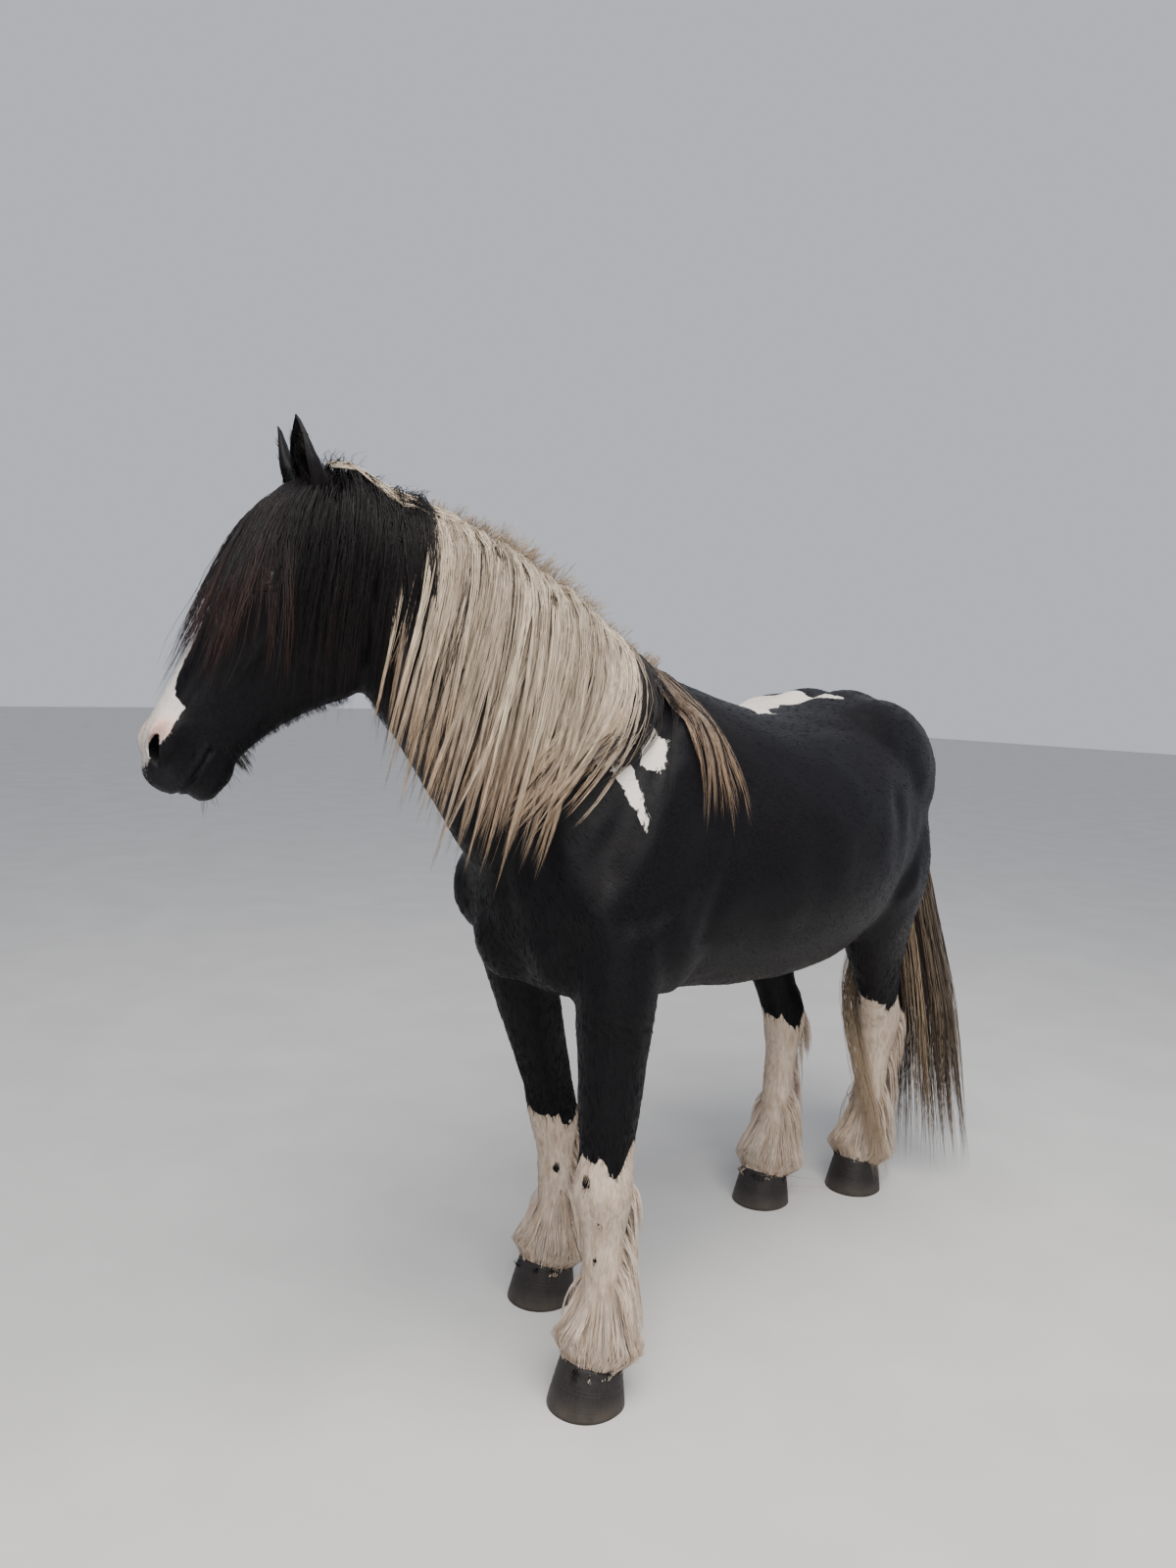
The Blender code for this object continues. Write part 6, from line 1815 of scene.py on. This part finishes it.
def hoof_look():
    """Dark slate horn with growth rings, dry and dusty low down."""
    look, tree, shader = new_look("hoof", Roughness=0.55, Specular_IOR_Level=0.20)
    share = attribute(tree, "share")
    rings = node(tree, "ShaderNodeTexNoise", {"noise_dimensions": "1D"}, W=share, Scale=26.0, Detail=3.0).outputs[0]
    grain = noise(tree, 240, (1, 1, 0.10), 3)
    dust = noise(tree, 30, (1, 1, 1), 4)
    colour = mixed(tree, rings, (0.010, 0.0090, 0.0095), (0.026, 0.0225, 0.0215))
    colour = mixed(tree, spread(tree, grain, 0.35, 0.75, 0, 0.5), colour, (0.038, 0.032, 0.029))
    colour = mixed(tree, times(tree, spread(tree, share, 0.5, 0.0), dust), colour, (0.085, 0.070, 0.056))
    feed(tree, shader.inputs["Base Color"], colour)
    feed(tree, shader.inputs["Roughness"], spread(tree, grain, 0.3, 0.8, 0.42, 0.68))
    height = maths(tree, "ADD", rings, times(tree, grain, 0.5))
    bump = node(tree, "ShaderNodeBump", Strength=0.5, Distance=0.0012, Height=height)
    feed(tree, shader.inputs["Normal"], bump.outputs[0])
    return look


# The setting

def camera():
    """The camera, where the photograph was taken from."""
    data = bpy.data.cameras.new("camera")
    data.lens = LENS
    data.sensor_width = FILM
    eye = bpy.data.objects.new("camera", data)
    yaw, pitch, roll = [math.radians(angle) for angle in CAMERA_TURNS]
    front = np.array((math.sin(yaw) * math.cos(pitch), math.cos(yaw) * math.cos(pitch), -math.sin(pitch)))
    right = unit(np.cross(front, (0, 0, 1)))
    up = np.cross(right, front)
    turned = right * math.cos(roll) + up * math.sin(roll)
    above = up * math.cos(roll) - right * math.sin(roll)
    matrix = np.eye(4)
    matrix[:3] = np.stack([turned, above, -front, at(*CAMERA_PLACE)], 1)
    eye.matrix_world = Matrix(matrix.tolist())
    bpy.context.scene.collection.objects.link(eye)
    bpy.context.scene.camera = eye


def area_light(name, place, size, energy, colour):
    """A soft, square light that faces the body."""
    data = bpy.data.lights.new(name, "AREA")
    data.energy, data.size, data.color = energy, size, colour
    lamp = bpy.data.objects.new(name, data)
    lamp.location = place
    lamp.rotation_euler = (Vector(LIT_PLACE) - Vector(place)).to_track_quat("-Z", "Y").to_euler()
    bpy.context.scene.collection.objects.link(lamp)


def setting():
    """A pale floor, an even sky and soft lights."""
    look, tree, shader = new_look("floor", Roughness=0.75)
    tone = mixed(tree, spread(tree, noise(tree, 3.0), 0.3, 0.7), (0.57, 0.56, 0.54), (0.61, 0.60, 0.58))
    feed(tree, shader.inputs["Base Color"], tone)
    points = np.array([(-1, -1, 0), (1, -1, 0), (1, 1, 0), (-1, 1, 0)], float) * FLOOR_HALF
    mesh = mesh_of("floor", points, np.array([(0, 1, 2, 3)]))
    mesh.materials.append(look)
    floor = bpy.data.objects.new("floor", mesh)
    bpy.context.scene.collection.objects.link(floor)
    world = bpy.data.worlds.new("studio")
    bpy.context.scene.world = world
    world.use_nodes = True
    back = world.node_tree.nodes["Background"]
    back.inputs[0].default_value = SKY
    back.inputs[1].default_value = SKY_STRENGTH
    for light in LIGHTS:
        area_light(*light)


camera()
setting()
skin, bare = make_skin()
for step in range(17):
    place, _, left = crest(bare, MANE_START + 0.02 + step * 0.028)
    mane_roots.append(place + left * 0.022)
carry(skin, marks_at(coords(skin)))
coat = coat_look("coat", True)
fur = coat_look("fur", False)
show("skin", skin, coat, FLESH + ["ear_left", "ear_right"])

horn = hoof_look()
hooves = [hoof(leg, horn) for leg in LEGS]
wet = eye_look()
for side in (1, -1):
    eyeball(side, wet)

bodies = [skin] + hooves
starts = np.cumsum([0] + [len(mesh.vertices) for mesh in bodies])
solid = BVHTree.FromPolygons(
    [Vector(p) for mesh in bodies for p in coords(mesh)],
    [[first + i for i in face.vertices] for mesh, first in zip(bodies, starts) for face in mesh.polygons])

tufts("coat_tufts_body", skin, BODY_TUFTS, body_wanted, body_length,
      lambda places: 0.0015 - 0.0004 * ramp(0.60 - places[:, 2], 0, 0.10),
      lambda places: 0.05 + 0.08 * ramp(0.60 - places[:, 2], 0, 0.15), fur, np.random.default_rng(31))
tufts("coat_tufts_head", skin, HEAD_TUFTS, head_wanted,
      lambda places: 0.0050 + 0.003 * ramp(-along_head(places)[:, 1], 0, 0.15),
      lambda places: np.full(len(places), 0.0013),
      lambda places: np.full(len(places), 0.12), fur, np.random.default_rng(32))

fair, black, worn, withers, brown, pale = [hair_look(name, *rest) for name, rest in HAIR_LOOKS.items()]
mane(bare, fair)
rear_locks(bare, withers)
crest_fuzz(bare, fair)
poll_mane(bare, black)
forelock(bare, worn)
beard(bare, black)
small_hair(bare, black)
tail(brown)
inner_strand(brown)
for seed, leg in enumerate(LEGS):
    feather(leg, solid, pale, 60 + seed)
